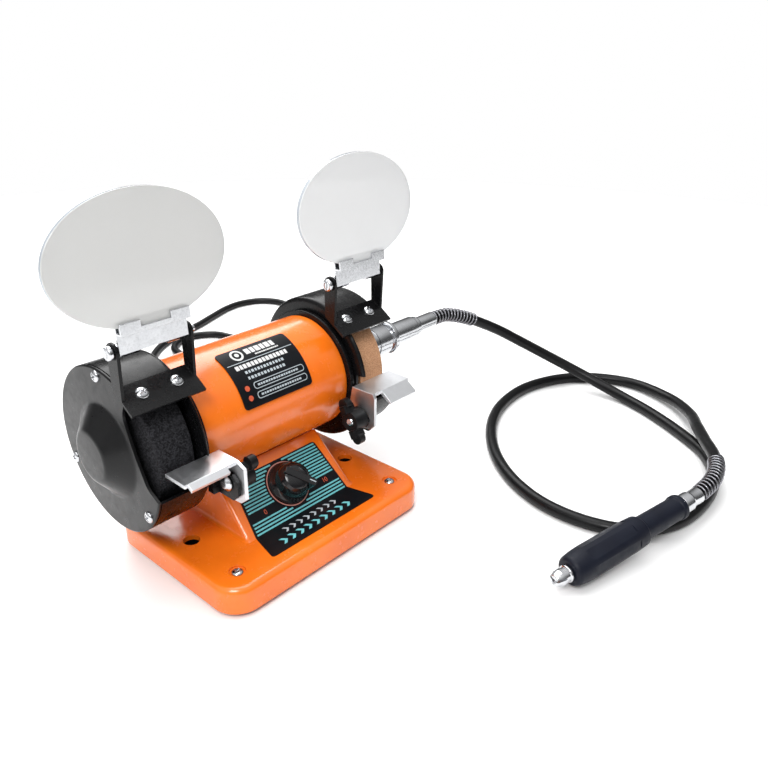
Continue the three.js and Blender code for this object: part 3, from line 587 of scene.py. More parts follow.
# ---------- cords ----------
# Both routes have the CAD's own points. The coil holds the length of the mains cord that isn't laid out.
MAINS_RADIUS = 3.1
MAINS_ROUTE = [
    (24, 76.8, 9.5), (23.8, 82, 9.2), (22.4, 90, 7.8), (19, 100, 5.6), (13.5, 114, 3.9), (9, 131, 3.2),
    (8, 152, 3.2), (17, 176, 3.2), (34, 200, 3.2), (56, 226, 3.2), (80, 252, 3.2), (104, 274, 3.2),
    (132, 288, 3.2), (163, 297, 3.2), (191, 308, 3.2), (213, 316, 3.2), (233, 318, 3.2), (252, 311, 3.2),
    (263, 295, 3.2), (263, 275, 3.2), (252, 254, 3.2), (231, 237, 3.2), (206, 223.5, 3.2), (192, 220, 3.2),
    (178, 223.8, 3.2), (168, 234, 3.2), (164, 248, 3.2), (160.2, 262, 3.2), (150, 272, 3.2), (136, 276, 3.2),
    (122, 272, 3.2), (111.8, 262, 3.2), (108, 248, 3.2), (109, 230, 3.2), (111, 211, 3.2), (110.8, 192, 3.2),
    (107, 177.8, 3.2), (96.8, 167.5, 3.2), (83, 163.6, 3.2), (72, 163.6, 3.2),
]
COIL_MIDDLE = sum(extent("mains_coil"), Vector()) / 2
COIL_MEAN = 34
COIL_RISE = 6.3
FLEX_RADIUS = 4
FLEX_ROUTE = [
    (176.4, 16.5, 75), (191, 15.8, 74.4), (209, 12.5, 69), (226, 8, 61), (243, 1, 51.5), (258, -9, 41),
    (271, -21, 31), (282, -36, 21.5), (289, -54, 13.5), (291, -72, 8), (289, -90, 5), (283, -108, 4.3),
    (273, -128, 4.3), (261, -148, 4.3), (246, -168, 4.3), (221, -184, 4.3), (187, -191, 4.3),
    (152, -187, 4.3), (128, -171, 4.3), (118, -148, 4.3), (118, -118, 4.3), (133, -83, 4.3),
    (165, -49, 4.3), (209, -26, 4.3), (258, -22, 4.3), (300, -41, 4.3), (320, -78, 4.6), (309, -115, 7),
    (283, -142, 12), (257, -157.5, 16), (235, -171, 18.5), (219.5, -181.3, 20), (202, -189.6, 21.1),
    (184.5, -193.3, 20.8), (167, -192.3, 19.5),
]


def smooth_path(points, gap=3.0):
    """Points every gap along the centripetal Catmull-Rom curve through a route, as in the CAD."""
    knots = [Vector(p) for p in points]
    knots = [2 * knots[0] - knots[1], *knots, 2 * knots[-1] - knots[-2]]
    path = []
    for i in range(1, len(knots) - 2):
        p = knots[i - 1:i + 3]
        t = [0.0]
        for a, b in zip(p, p[1:]):
            t.append(t[-1] + math.sqrt((b - a).length))
        steps = max(2, round((p[2] - p[1]).length / gap))
        for k in range(steps):
            at = t[1] + (t[2] - t[1]) * k / steps
            a1 = p[0].lerp(p[1], (at - t[0]) / (t[1] - t[0]))
            a2 = p[1].lerp(p[2], (at - t[1]) / (t[2] - t[1]))
            a3 = p[2].lerp(p[3], (at - t[2]) / (t[3] - t[2]))
            b1 = a1.lerp(a2, (at - t[0]) / (t[2] - t[0]))
            b2 = a2.lerp(a3, (at - t[1]) / (t[3] - t[1]))
            path.append(b1.lerp(b2, (at - t[1]) / (t[2] - t[1])))
    path.append(knots[-2])
    return path


def ramp(value, start, end):
    share = min(max((value - start) / (end - start), 0), 1)
    return share * share * (3 - 2 * share)


def coil_path():
    """Three and a half turns: an outer and an inner one, then the same on top of them."""
    points = []
    start, stop, step = 90, 1350, 6
    for k in range((stop - start) // step + 1):
        degrees = start + k * step
        side = 1 - 2 * ramp(degrees, 370, 430) + 2 * ramp(degrees, 1000, 1050)
        radius = COIL_MEAN + MAINS_RADIUS * side
        height = MAINS_RADIUS + 0.1 + COIL_RISE * ramp(degrees, 690, 735)
        spot = COIL_MIDDLE.xy + polar(radius, degrees)
        points.append(Vector((*spot, height)))
    return points


def cord_curve(name, path, radius):
    data = bpy.data.curves.new(name, "CURVE")
    data.dimensions = "3D"
    data.bevel_depth = radius * MM
    data.bevel_resolution = 6
    data.use_fill_caps = True
    line = data.splines.new("POLY")
    line.points.add(len(path) - 1)
    for point, spot in zip(line.points, path):
        point.co = (*(spot * MM), 1)
    line.use_smooth = True
    return placed(name, data)


def length_of(path):
    return sum((b - a).length for a, b in zip(path, path[1:]))


def mains_plug():
    """The moulded two-pin plug beside the coil."""
    low, high = extent("mains_plug")
    tail, body = low.x + 24, low.x + 54
    middle = (low + high) / 2
    start = Vector((0, middle.y, middle.z))
    half = (high.y - low.y) / 2
    profile = [(0, low.x), (MAINS_RADIUS + 0.6, low.x)]
    for k in range(5):
        at = low.x + 3 + 4.2 * k
        reach = MAINS_RADIUS + 0.8 + 0.3 * k
        profile += [(reach, at), (reach, at + 2.2), (reach - 0.7, at + 2.4), (reach - 0.7, at + 4)]
    profile += [(5.6, tail), (half, tail + 6, 3), (half, body - 8, 2), (half - 1.2, body, 0.8), (0, body)]
    plug = lathe("plug_body", profile, start, (1, 0, 0), 48)
    finished(plug, PLASTIC, ["mains_plug"])
    pins = []
    for name, side in (("low", -1), ("high", 1)):
        pin = lathe(f"plug_pin_{name}", [
            (0, body - 1), (2.2, body - 1), (2.2, high.x - 1, 0.6), (1.2, high.x, 0.4), (0, high.x)],
            start + Vector((0, 0, 4.6 * side)), (1, 0, 0), 24)
        pins.append(finished(pin, CHROME))
    return [plug, *pins]


def cord_gland():
    """The ribbed strain relief at the back of the base."""
    low, high = extent("cord_gland")
    start = (Vector(low) + Vector(high)) / 2
    start.y = 0
    flange = low.y + 6.6
    profile = [(0, low.y), (5.5, low.y), (5.5, flange - 1.6), (7, flange - 1.6, 0.4), (7, flange, 0.6)]
    ribs = 6
    span = (high.y - flange - 3) / ribs
    for k in range(ribs):
        reach = 5.4 - 0.24 * k
        at = flange + 0.8 + span * k
        profile += [(reach, at, 0.3), (reach, at + span * 0.55, 0.3),
                    (reach - 0.8, at + span * 0.6), (reach - 0.8, at + span * 0.95)]
    profile += [(MAINS_RADIUS + 0.7, high.y - 1, 0.4), (0, high.y)]
    made = lathe("gland_boot", profile, start, (0, 1, 0), 40)
    return finished(made, RUBBER, ["cord_gland"])


def make_mains_cord():
    coil = coil_path()
    into_plug = Vector((extent("mains_plug")[0].x + 0.2, coil[-1].y, coil[-1].z))
    path = [*smooth_path(MAINS_ROUTE), *coil, into_plug]
    lead = cord_curve("mains_lead", path, MAINS_RADIUS)
    finished(lead, SHEATH, ["mains_cord", "mains_coil"])
    length_of(path) * MM
    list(mains_plug())
    cord_gland()


# ---------- flexible shaft ----------
def spring(name, path, start, stop, wire=0.55, pitch=3.4):
    """A wire helix round the sheath between two lengths along it."""
    reach = FLEX_RADIUS + wire + 0.25
    points = []
    travelled = 0.0
    points_per_turn = 14
    for a, b in zip(path, path[1:]):
        step = (b - a).length
        if start <= travelled <= stop and step > 0:
            ahead = (b - a).normalized()
            across = ahead.cross(Vector((0, 0, 1))).normalized()
            up = across.cross(ahead)
            count = max(2, round(step / pitch * points_per_turn))
            for k in range(count):
                angle = 2 * math.pi * (travelled + step * k / count) / pitch
                offset = across * math.cos(angle) + up * math.sin(angle)
                points.append(a.lerp(b, k / count) + offset * reach)
        travelled += step
    return finished(cord_curve(name, points, wire), SPRING)


def adaptor():
    low, high = extent("flex_adaptor")
    face, sleeve_end, flange_end, neck_end = 95.8, 124, 127.5, 156
    profile = [(0, low.x), (7.2, low.x), (7.2, face), (10.4, face, 0.6)]
    for at in (104, 108):
        profile += [(10.4, at), (9.9, at + 0.3), (9.9, at + 1), (10.4, at + 1.3)]
    profile += [
        (10.4, sleeve_end - 3, 0.5), (9.4, sleeve_end - 2.4), (9.4, sleeve_end), (11.4, sleeve_end, 0.5),
        (11.4, flange_end, 0.8), (8, flange_end), (8, neck_end - 4, 0.5), (7.2, neck_end - 3),
        (7.2, neck_end, 0.6), (5.6, neck_end + 2), (5.6, high.x - 1, 0.4), (5.1, high.x), (0, high.x)]
    made = on_axis("shaft_adaptor", profile, 1, 96)
    return finished(made, CHROME, ["flex_adaptor"])


def hand_ferrule(path):
    rear = path[-1]
    line = HANDPIECE_REAR - rear
    length = line.length
    made = lathe("hand_ferrule", [
        (0, 1.2), (5, 1.2, 0.3), (5, length * 0.5), (5.3, length * 0.55, 0.2), (5.8, length * 0.6, 0.3),
        (5.8, length - 0.3, 0.3), (0, length - 0.3)], rear, line, 48)
    return finished(made, CHROME, ["flex_ferrule"])


def spokes(count, first, outline, low, high, place):
    """Cutters: copies of one prism set evenly round the line that place follows."""
    for k in range(count):
        turn = Matrix.Rotation(math.radians(360 / count * k + first), 2)
        yield prism("cutter", [turn @ Vector(corner) for corner in outline], low, high, place)


def handpiece():
    """The rubber grip: a slim rear with a collar, and a thicker front with six finger flats."""
    length = (CHUCK_POINT - HANDPIECE_REAR).length
    step, shoulder = 36, 43
    grip = lathe("hand_grip", [
        (0, 0.6), (6.9, 0.6, 0.5), (7.5, 1.4, 0.4), (7.5, 4.2, 0.4), (6.8, 4.8, 0.3),
        (7.1, step - 1, 0.5), (8.8, step, 0.6), (9.2, shoulder, 2), (9.4, length - 14), (9.2, length - 8, 2),
        (8.4, length - 1.6, 1.2), (7.2, length - 0.2, 0.6), (0, length)], HANDPIECE_REAR, CHUCK_AXIS, 72)
    flats = bar(8.8, 12, -6, 6), shoulder + 1, length - 11
    carved(grip, *spokes(6, 20, *flats, turned_by(HANDPIECE_REAR, CHUCK_AXIS)))
    return finished(softened(grip, 0.5, 3, 20), GRIP, ["handpiece"])


def chuck():
    """A stepped nose that ends in three jaws with gaps between them."""
    collar = lathe("chuck_body", [
        (0, 0.3), (4.9, 0.3, 0.3), (4.9, 1.8, 0.3), (4.2, 2.3), (4.2, 4.4, 0.3), (3.4, 4.8), (0, 4.8)],
        CHUCK_POINT, CHUCK_AXIS, 64)
    finished(collar, CHROME, ["handpiece_chuck"], "chuck")
    jaws = lathe("chuck_jaws", [
        (1.3, 4.4), (4.6, 4.4), (4.6, 6.8, 0.5), (3.2, 10.4, 0.5), (1.3, 10.4)], CHUCK_POINT, CHUCK_AXIS, 64)
    gaps = bar(0, 7, -0.6, 0.6), 5.2, 12
    carved(jaws, *spokes(3, 40, *gaps, turned_by(CHUCK_POINT, CHUCK_AXIS)))
    finished(softened(jaws, 0.2, 2), CHROME, body="chuck")


def make_flexible_shaft():
    path = smooth_path(FLEX_ROUTE)
    sheath = cord_curve("flex_lead", path, FLEX_RADIUS)
    finished(sheath, SHEATH, ["flex_sheath"])
    total = length_of(path)
    springs = [spring("spring_near", path, 0, 44), spring("spring_far", path, total - 46, total)]
    chuck()
    adaptor()
    hand_ferrule(path)
    handpiece()


# ---------- control panel ----------
LABEL_THICK = 0.6
LABEL_TOP = 34
LABEL_HALF = {"top": 31, "crease": 35, "front": 39.5}
FLAP = 19
KNOB_ALONG = math.sqrt(2) * (KNOB_POINT.z - BASE_TOP)
KNOB_SKIRT = 12.5
KNOB_HEIGHT = 15
KNOB_TURN = -48
INK = 0.06


def on_flap(u, v, w):
    """A point on the label's front flap: across, forward from the crease, and up."""
    return Vector((u, PANEL_CREASE - v, BASE_TOP + w))


def ink(name, outlines, place, level, material, body="stand"):
    """Printed marks: thin plates that stand on the surface under them."""
    bm = bmesh.new()
    for outline in outlines:
        add_prism(bm, outline, level, level + INK, place)
    return finished(thing(name, bm), material, body=body)


def stripe(along, thick):
    """One stripe of the panel, in two parts where the knob's ring interrupts it."""
    half = LABEL_HALF["crease"] + (LABEL_HALF["top"] - LABEL_HALF["crease"]) * along / LABEL_TOP - 1.2
    low, high = along - thick / 2, along + thick / 2
    clear = KNOB_SKIRT + 2.1
    offset = abs(along - KNOB_ALONG)
    if offset >= clear:
        return [bar(-half, half, low, high)]
    inner = math.sqrt(clear * clear - offset * offset)
    return [bar(-half, -inner, low, high), bar(inner, half, low, high)]


def chevron(x, y, height, reach, stroke):
    """A small arrow head that points right, drawn from the crease forward."""
    middle = y + height / 2
    return [(x, y), (x + stroke, y), (x + stroke + reach, middle), (x + stroke, y + height),
            (x, y + height), (x + reach, middle)]


def numeral(name, text, x):
    """A dial number, printed on the slope below the knob."""
    data = bpy.data.curves.new(name, "FONT")
    data.body = text
    data.size = 4 * MM
    data.align_x = "CENTER"
    data.extrude = INK * MM / 2
    drawn = placed(name, data)
    mesh = bpy.data.meshes.new_from_object(drawn)
    bpy.data.objects.remove(drawn)
    for vertex in mesh.vertices:
        u, v, w = vertex.co / MM
        vertex.co = on_panel(x + u, KNOB_ALONG - 9.6 + v, LABEL_THICK + INK + w) * MM
    return finished(placed(name, mesh), RED_INK)


def make_label():
    slope = prism("label_slope", rounded([
        (-LABEL_HALF["crease"], 0.25), (LABEL_HALF["crease"], 0.25),
        (LABEL_HALF["top"], LABEL_TOP, 2), (-LABEL_HALF["top"], LABEL_TOP, 2)]), 0, LABEL_THICK, on_panel)
    flap = prism("label_flap", rounded([
        (LABEL_HALF["crease"], 0), (-LABEL_HALF["crease"], 0),
        (-LABEL_HALF["front"], FLAP, 2.5), (LABEL_HALF["front"], FLAP, 2.5)]), 0, LABEL_THICK, on_flap)
    finished(softened(slope, 0.15, 2), FOIL, ["panel_label"])
    finished(softened(flap, 0.15, 2), FOIL)
    upper = [mark for k in range(11) for mark in stripe(32.6 - 1.9 * k, 0.95)]
    lower = [mark for k in range(4) for mark in stripe(6.9 - 1.95 * k, 0.95)]
    ink("panel_stripes", upper + lower, on_panel, LABEL_THICK, TEAL_INK)
    numeral("dial_low", "0", -22)
    numeral("dial_high", "10", 23.5)
    small = [chevron(-20 + 5.2 * k, 3.6, 4.2, 2, 1.5) for k in range(8)]
    large = [chevron(-28 + 6 * k, 10.2, 5, 2.4, 2.1) for k in range(9)]
    ink("flap_marks_upper", small, on_flap, LABEL_THICK, PALE_INK)
    ink("flap_marks_lower", large, on_flap, LABEL_THICK, TEAL_INK)


def make_knob():
    low, height = LABEL_THICK + GAP, KNOB_HEIGHT
    skirt = lathe("knob_body", [
        (0, low), (KNOB_SKIRT, low, 0.2), (KNOB_SKIRT, low + 1.8, 0.6), (11.2, low + 3, 1),
        (10.2, low + 4.6, 1), (9.4, height - 4.2, 2.5), (7.4, height - 1.4, 3), (0, height - 0.6)],
        KNOB_POINT, KNOB_AXIS, 96)
    finished(skirt, GLOSS_PLASTIC, ["speed_knob"], "knob")
    section = bar(KNOB_SKIRT + 0.35, KNOB_SKIRT + 1, LABEL_THICK, LABEL_THICK + INK)
    ring = lathe("knob_ring", section, KNOB_POINT, KNOB_AXIS, 96)
    finished(ring, PINK_INK)
    turn = math.radians(KNOB_TURN)

    def place(u, v, w):
        x, along = u * math.cos(turn) - v * math.sin(turn), u * math.sin(turn) + v * math.cos(turn)
        return on_panel(KNOB_POINT.x + x, KNOB_ALONG + along, w)

    pointer = prism("knob_pointer", rounded([
        (-8.4, -2.1, 1), (10.4, -2.1), (11.9, -1.2, 0.8), (11.9, 1.2, 0.8), (10.4, 2.1), (-8.4, 2.1, 1)]),
        low + 1.9, height, place)
    finished(softened(pointer, 0.5, 3), GLOSS_PLASTIC, body="knob")
    ink("pointer_line", [bar(7, 11, -0.3, 0.3)], place, height, PALE_INK, "knob")


# ---------- motor ----------
NAMEPLATE_HALF = 24
NAMEPLATE_ARC = (17, 75)
NAMEPLATE_THICK = 0.5


def band(name, rows, radius, thick, material):
    """A thin plate wrapped round the motor: rows of (degrees, left x, right x), low to high."""
    bm = bmesh.new()
    rings = []
    for degrees, left, right in rows:
        section = bar(radius, radius + thick, left, right)
        rings.append([bm.verts.new(around(r, degrees, x) * MM) for r, x in section])
    add_skin(bm, rings)
    return finished(thing(name, bm), material)


def arc_rows(x0, x1, low, high, corner=0.0, steps=16):
    """Rows of a rectangle on the drum whose corners are rounded by about corner millimetres."""
    to_degrees = math.degrees(1 / HOUSING_RADIUS)
    rows = []
    for k in range(steps + 1):
        degrees = low + (high - low) * k / steps
        if corner:
            share = (1 - math.cos(math.pi * k / steps)) / 2
            degrees = low + (high - low) * share
        gap = min(degrees - low, high - degrees) / to_degrees
        inset = corner - math.sqrt(max(0, corner ** 2 - (corner - min(gap, corner)) ** 2))
        rows.append((degrees, x0 + inset, x1 - inset))
    return rows


def disc_rows(x, degrees, radius, steps=14):
    to_degrees = math.degrees(1 / HOUSING_RADIUS)
    rows = []
    for k in range(steps + 1):
        up = -math.cos(math.pi * k / steps)
        reach = radius * math.sqrt(max(0.0004, 1 - up * up))
        rows.append((degrees + up * radius * to_degrees, x - reach, x + reach))
    return rows


def words(name, x, end, low, high, lengths, gap, level, material):
    """Stands in for a line of small print: a row of short plain bars."""
    k = 0
    while x + lengths[k % len(lengths)] <= end:
        length = lengths[k % len(lengths)]
        band(f"{name}_{k}", [(low, x, x + length), (high, x, x + length)], level, INK, material)
        x += length + gap
        k += 1


def make_nameplate():
    foot, head = NAMEPLATE_ARC
    base = HOUSING_RADIUS + GAP
    top = base + NAMEPLATE_THICK
    rows = arc_rows(-NAMEPLATE_HALF, NAMEPLATE_HALF, foot, head, 2, 24)
    plate = band("nameplate_foil", rows, base, NAMEPLATE_THICK, FOIL)
    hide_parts("nameplate")

    def degrees(down):
        """The place on the drum of a share of the plate's height, from its top."""
        return head - (head - foot) * down

    for k, (name, radius, material) in enumerate((
            ("emblem_disc", 3.9, WHITE_INK), ("emblem_hole", 2.7, FOIL), ("emblem_core", 1.3, WHITE_INK))):
        band(name, disc_rows(-12.5, degrees(0.14), radius), top + k * INK, INK, material)
    words("title", -6.5, 16, degrees(0.18), degrees(0.07), (3.1, 2.4), 0.7, top, WHITE_INK)
    words("subtitle", -2, 16, degrees(0.235), degrees(0.21), (1.4, 0.8), 0.3, top, WHITE_INK)
    band("divider", arc_rows(-22.5, 22.5, degrees(0.29), degrees(0.28)), top, INK, PALE_INK)
    words("heading", -19, 17, degrees(0.4), degrees(0.325), (2.3, 1.7, 2), 0.6, top, WHITE_INK)
    words("line_one", -15, 13, degrees(0.49), degrees(0.445), (1.5, 1.1), 0.8, top, PALE_INK)
    words("line_two", -15, 11, degrees(0.585), degrees(0.54), (1.2, 1.6), 0.8, top, PALE_INK)
    for k, down in enumerate((0.7, 0.85)):
        outside = arc_rows(-14, 21.5, degrees(down + 0.055), degrees(down - 0.055), 1.6)
        inside = arc_rows(-13.6, 21.1, degrees(down + 0.043), degrees(down - 0.043), 1.3)
        band(f"box_{k}", outside, top, INK, PALE_INK)
        band(f"box_inside_{k}", inside, top + INK, INK, FOIL)
        words(f"box_text_{k}", -11.5, 18, degrees(down + 0.015), degrees(down - 0.015), (1.6, 1, 1.3), 0.5,
              top + 2 * INK, PALE_INK)
        band(f"dot_{k}", disc_rows(-18.6, degrees(down), 1.5), top, INK, RED_INK)


def make_motor():
    half, wall = HOUSING_HIGH.x, 1.6
    outer, inner = HOUSING_RADIUS, HOUSING_RADIUS - wall
    tube = on_axis("motor_tube", [
        (inner, -half), (outer - 0.2, -half, 0.2), (outer, -half + 1, 0.5), (outer, half - 1, 0.5),
        (outer - 0.2, half, 0.2), (inner, half)], 1, 160)
    finished(tube, ORANGE, ["motor_housing"])
    for name, side in SIDES:
        node = f"end_bell_{name}"
        low, high = extent(node)
        flange = high.z - AXIS.z
        end = max(abs(low.x), abs(high.x))
        bore, seat, hub = 5.4, 13.3, 17
        pocket, back = 43, 52.6
        spigot = inner - GAP
        bell = on_axis(f"motor_end_{name}", [
            (bore, end), (22, end, 1.5), (24, end - 0.6), (flange - 4, end - 0.6), (flange - 3, end, 0.6),
            (flange, end, 1.2), (flange, half + GAP, 0.5), (spigot, half + GAP), (spigot, half - 0.8),
            (hub, half - 0.8), (hub, pocket), (seat, pocket), (seat, back), (bore, back)], side, 128)
        finished(bell, BLACK, [node])
    make_nameplate()


# ---------- wheels ----------
WHEEL_BORE = 5
FLANGE = 2.3


def make_wheels():
    for name, side in SIDES:
        material = {"left": GREY_GRIT_SHADED, "right": TAN_GRIT}[name]
        start, end = WHEEL_LOW.x, WHEEL_HIGH.x
        wheel = on_axis(f"grinding_wheel_{name}", [
            (WHEEL_BORE, start), (WHEEL_RADIUS, start, 0.8), (WHEEL_RADIUS, end, 0.8), (WHEEL_BORE, end)],
            side, 160)
        finished(wheel, material, [f"wheel_{name}"], "rotor")
        for place in ("inner", "outer"):
            node = f"flange_{place}_{name}"
            low, high = extent(node)
            first, last = sorted((abs(low.x), abs(high.x)))
            rim = high.z - AXIS.z
            if place == "inner":
                edge = [(8, first), (8, last - FLANGE), (rim, last - FLANGE, 0.3), (rim, last, 0.3)]
            else:
                edge = [(rim - 1, first), (rim, first + 0.8), (rim, last - 0.3, 0.3)]
            flange = on_axis(
                f"wheel_flange_{place}_{name}", [(WHEEL_BORE, first), *edge, (WHEEL_BORE, last)], side, 72)
            finished(flange, STEEL, [node], "rotor")
        nut = f"spindle_nut_{name}"
        finished(refined(nut, 0.6), STEEL, [nut], "rotor")


# ---------- guards ----------
MOUTH = (-18, 15, 50)
SHEET = 1.6
POSTS = (90, 206, 322)
POST_ORBIT = 40.9
AXLE_HOLE = 9.5
ADAPTOR_HOLE = 7.6


def guard_shell(name, side):
    inner, outer = SHELL_LOW.x, SHELL_HIGH.x
    drum = on_axis(f"guard_drum_{name}", [
        (AXLE_HOLE, inner), (GUARD_RADIUS, inner, 3), (GUARD_RADIUS, outer), (GUARD_RADIUS - SHEET, outer),
        (GUARD_RADIUS - SHEET, inner + SHEET, 1.8), (AXLE_HOLE, inner + SHEET)], side, 144)
    rest_top = extent(f"tool_rest_{name}")[1].z - AXIS.z
    notch = prism("notch", bar(38.4, 60, rest_top - 4, rest_top + 3),
                  *sorted((side * (inner - 1), side * (inner + SHEET + 1))), side_on)
    fan = [(0, 0)] + [polar(80, degrees) for degrees in MOUTH]
    mouth = prism("mouth", fan, *sorted((side * (inner + SHEET + GAP), side * (outer + 10))), side_on)
    carved(drum, mouth, notch)
    finished(softened(drum, 0.35), BLACK, [f"guard_shell_{name}"])
    for k, degrees in enumerate(POSTS):
        spot = around(POST_ORBIT, degrees, 0)
        post = lathe(f"guard_post_{name}_{k + 1}", [
            (1.4, inner + 1), (2.6, inner + 1), (2.6, outer, 0.2), (1.4, outer)], spot, (side, 0, 0), 24)
        finished(post, BLACK)


def guard_cover(name, side):
    inside = COVER_LOW.x
    face, top = inside + SHEET, COVER_HIGH.x
    flat_top, dome = 13.5, 25
    hole = ADAPTOR_HOLE if side > 0 else 0
    plate = on_axis(f"guard_plate_{name}", [
        (GUARD_RADIUS - 0.3, inside), (GUARD_RADIUS, inside + 0.3), (GUARD_RADIUS, face - 0.5),
        (GUARD_RADIUS - 0.8, face, 0.3), (dome + 0.6, face, 1.4), (flat_top, top, 1.6),
        (hole, top), (hole, top - SHEET), (flat_top - 0.6, top - SHEET, 1.2), (dome - 0.8, inside, 1.2)],
        side, 160)
    front = rounded([
        (29, 40), (23.8, 34.4), (19.6, 26, 4), (26.2, 7.6, 5), (34, -8.3, 3), (42.3, -12.8, 2),
        (50, -15), (60, 0), (60, 60)])
    carved(plate, prism("front", front, *sorted((side * (inside - 5), side * (top + 5))), side_on))
    finished(softened(plate, 0.3, 2, 40), COVER_PAINT, [f"guard_cover_{name}"])
    for k, degrees in enumerate(POSTS):
        seat = around(POST_ORBIT, degrees, side * face)
        place_screw(f"cover_screw_{name}_{k + 1}", seat, (side, 0, 0), SCREW_RADIUS, 25 + 50 * k)


# ---------- eye shields ----------
SHIELD_LEAN = -5
SHIELD_HALF_WIDTH = 45.5
SHIELD_HALF_HEIGHT = 30.7
SHIELD_CENTRE = 40
SHIELD_THICK = 2.5
SHIELD_OUTWARD = 1.2
SHIELD_OFFSET = 3.9
FORK_ANGLE = 56
FORK_SCREW = 9.6
FORK_SCREW_ALONG = -1.6
FORK_SCREW_RADIUS = 3.3


def make_shield(name, side):
    hinge = joint_point(f"shield_{name}_tilt")
    lean = Matrix.Rotation(math.radians(SHIELD_LEAN), 3, "X")

    def in_front(u, v, w):
        """A point of the sheet: across, up from the hinge, and out towards the operator, then leant."""
        return hinge + lean @ Vector((u, -SHIELD_OFFSET - w, v))

    oval = [(side * SHIELD_OUTWARD + SHIELD_HALF_WIDTH * x, SHIELD_CENTRE + SHIELD_HALF_HEIGHT * y)
            for x, y in circle(1, 128)]
    sheet = softened(prism(f"eye_shield_{name}", oval, 0, SHIELD_THICK, in_front), 0.5)
    clear = {"left": CLEAR_LEFT, "right": CLEAR_RIGHT}[name]
    finished(sheet, clear, [f"shield_disc_{name}"], f"shield_{name}")
    sheet.data.materials.append(CLEAR_EDGE)
    facing = (in_front(0, 0, 1) - in_front(0, 0, 0)).normalized()
    for face in sheet.data.polygons:
        face.material_index = 0 if abs(face.normal.dot(facing)) > 0.5 else 1
    clamp = f"shield_clamp_{name}"
    finished(refined(clamp, 0.3), CHROME, [clamp], f"shield_{name}")
    fork = f"shield_fork_{name}"
    finished(refined(fork, 0.35), BLACK, [fork])
    forward, up = polar(1, FORK_ANGLE)
    for k, end in enumerate((-1, 1)):
        seat = around(GUARD_RADIUS + GAP + SHEET, FORK_ANGLE, hinge.x + end * FORK_SCREW)
        seat += FORK_SCREW_ALONG * Vector((0, up, forward))
        place_screw(f"fork_screw_{name}_{k + 1}", seat, (0, -forward, up), FORK_SCREW_RADIUS, 30 + 40 * k)
    pin = f"shield_pin_{name}"
    low, high = extent(pin)
    start = Vector((0, hinge.y, hinge.z))
    shank = lathe(f"hinge_pin_{name}", [
        (0, low.x), (3, low.x, 0.5), (3.6, low.x + 0.9, 0.4), (3.6, low.x + 2.1, 0.2),
        (1.8, low.x + 2.1), (1.8, high.x, 0.3), (0, high.x)], start, (1, 0, 0), 40)
    slot_cut = prism("slot", bar(-5, 5, -0.45, 0.45), -1, 0.9,
                     turned_by(Vector((low.x, hinge.y, hinge.z)), (1, 0, 0)))
    finished(carved(shank, slot_cut), CHROME, [pin])
    nut_seat = start + Vector((high.x - 4.4, 0, 0))
    nut = prism(f"hinge_nut_{name}", circle(3.5, 6), 0, 2.4, turned_by(nut_seat, (1, 0, 0)))
    finished(softened(nut, 0.4), CHROME)


# ---------- tool rests ----------
def make_rest(name, side):
    kinds = ("tool_rest", "rest_arm", "rest_bolt", "wing_knob")
    rest, arm, bolt, knob = (f"{kind}_{name}" for kind in kinds)
    finished(refined(rest, 0.45), PLATE, [rest], f"rest_{name}")
    finished(refined(arm, 0.4), BLACK, [arm])
    low, high = extent(bolt)
    seat, tip = (high.x, low.x) if side > 0 else (low.x, high.x)
    start = Vector((seat, (low.y + high.y) / 2, (low.z + high.z) / 2))
    head = (high.z - low.z) / 2
    length = abs(tip - seat)
    shank = lathe(f"carriage_bolt_{name}", [
        (0, 0), (head * 0.55, 0, 0.6), (head, 1.5, 0.5), (head, 2.4, 0.2), (2.4, 2.4),
        (2.4, length - 0.5), (2, length), (0, length)], start, (-side, 0, 0), 48)
    finished(shank, CHROME, [bolt])
    wing = softened(refined(knob, 0.9, 40), 0.3, 2)
    finished(wing, PLASTIC, [knob], f"wing_{name}")


# ---------- the frame's own pieces, light and floor ----------
def dress_frame():
    """Gives the CAD pieces that stay in view inside the machine the same finishes as the rest."""
    for part in frame["record"]["subparts"]:
        mesh = frame["nodes"][part["node"]].data
        mesh.materials.clear()
        mesh.materials.append(FINISHES[part["material_slot"]][0])


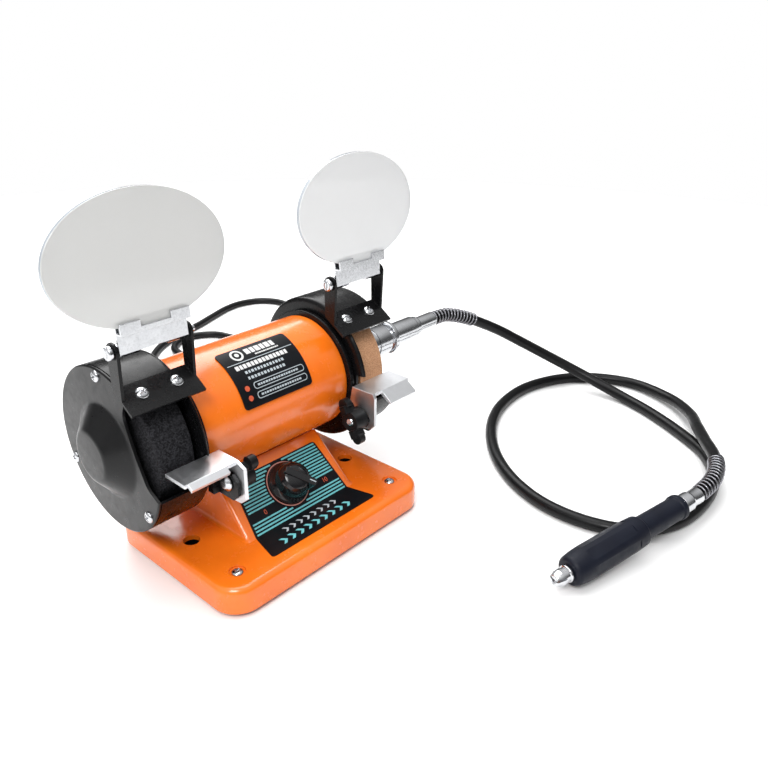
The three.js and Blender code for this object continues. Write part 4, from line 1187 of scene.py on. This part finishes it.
def make_world():
    """White behind everything; for light and reflections, bright above and to the left and dim elsewhere."""
    world = bpy.data.worlds.new("studio")
    world.use_nodes = True
    light = Nodes(world.node_tree)
    place = light.node("ShaderNodeTexCoord").outputs["Generated"]
    along = light.node("ShaderNodeSeparateXYZ", {0: place}).outputs
    above = light.level(along["Z"], 0.12, 0.8, 0.2, 0.85, interpolation_type="SMOOTHSTEP")
    left = light.level(along["X"], 0, 0.45, -0.2, -0.9, interpolation_type="SMOOTHSTEP")
    glow = light.node("ShaderNodeMath", {0: above, 1: left}).outputs[0]
    seen = light.node("ShaderNodeLightPath").outputs["Is Camera Ray"]
    strength = light.node("ShaderNodeMix", {"Factor": seen, "A": glow, "B": 1}).outputs["Result"]
    background = light.nodes["Background"]
    background.inputs["Color"].default_value = (1, 1, 1, 1)
    light.links.new(strength, background.inputs["Strength"])
    bpy.context.scene.world = world


FLOOR_RADIUS = 1150
LAMPS = (
    ("key", (-800, -500, 1100), 500, 11),
    ("back", (500, 900, 1100), 900, 12),
    ("top", (100, 200, 1600), 1200, 15),
)
LAMP_AIM = (0, 0, 60)


def make_stage():
    """A round paper floor and soft lamps, each given as name, place, size and watts."""
    bpy.context.scene.view_settings.view_transform = "Standard"
    bm = bmesh.new()
    bmesh.ops.create_circle(bm, cap_ends=True, segments=96, radius=FLOOR_RADIUS * MM)
    floor = thing("floor", bm)
    paper = Finish("studio_floor")
    tone = paper.level(paper.noise(3), 0, 1)
    paper.use("Base Color", paper.blend(tone, (0.93, 0.93, 0.93), (0.91, 0.91, 0.91)))
    paper.use("Roughness", paper.level(paper.noise(40), 0.7, 0.85))
    floor.data.materials.append(paper.material)
    for name, place, size, power in LAMPS:
        data = bpy.data.lights.new(name, "AREA")
        data.size = size * MM
        data.energy = power
        lamp = placed(name, data)
        lamp.location = Vector(place) * MM
        lamp.rotation_euler = (Vector(LAMP_AIM) - Vector(place)).to_track_quat("-Z", "Y").to_euler()


make_camera()
make_mains_cord()
make_flexible_shaft()
dress_frame()
make_base()
make_label()
make_knob()
make_motor()
make_wheels()
for name, side in SIDES:
    guard_shell(name, side)
    guard_cover(name, side)
    make_shield(name, side)
    make_rest(name, side)
make_world()
make_stage()
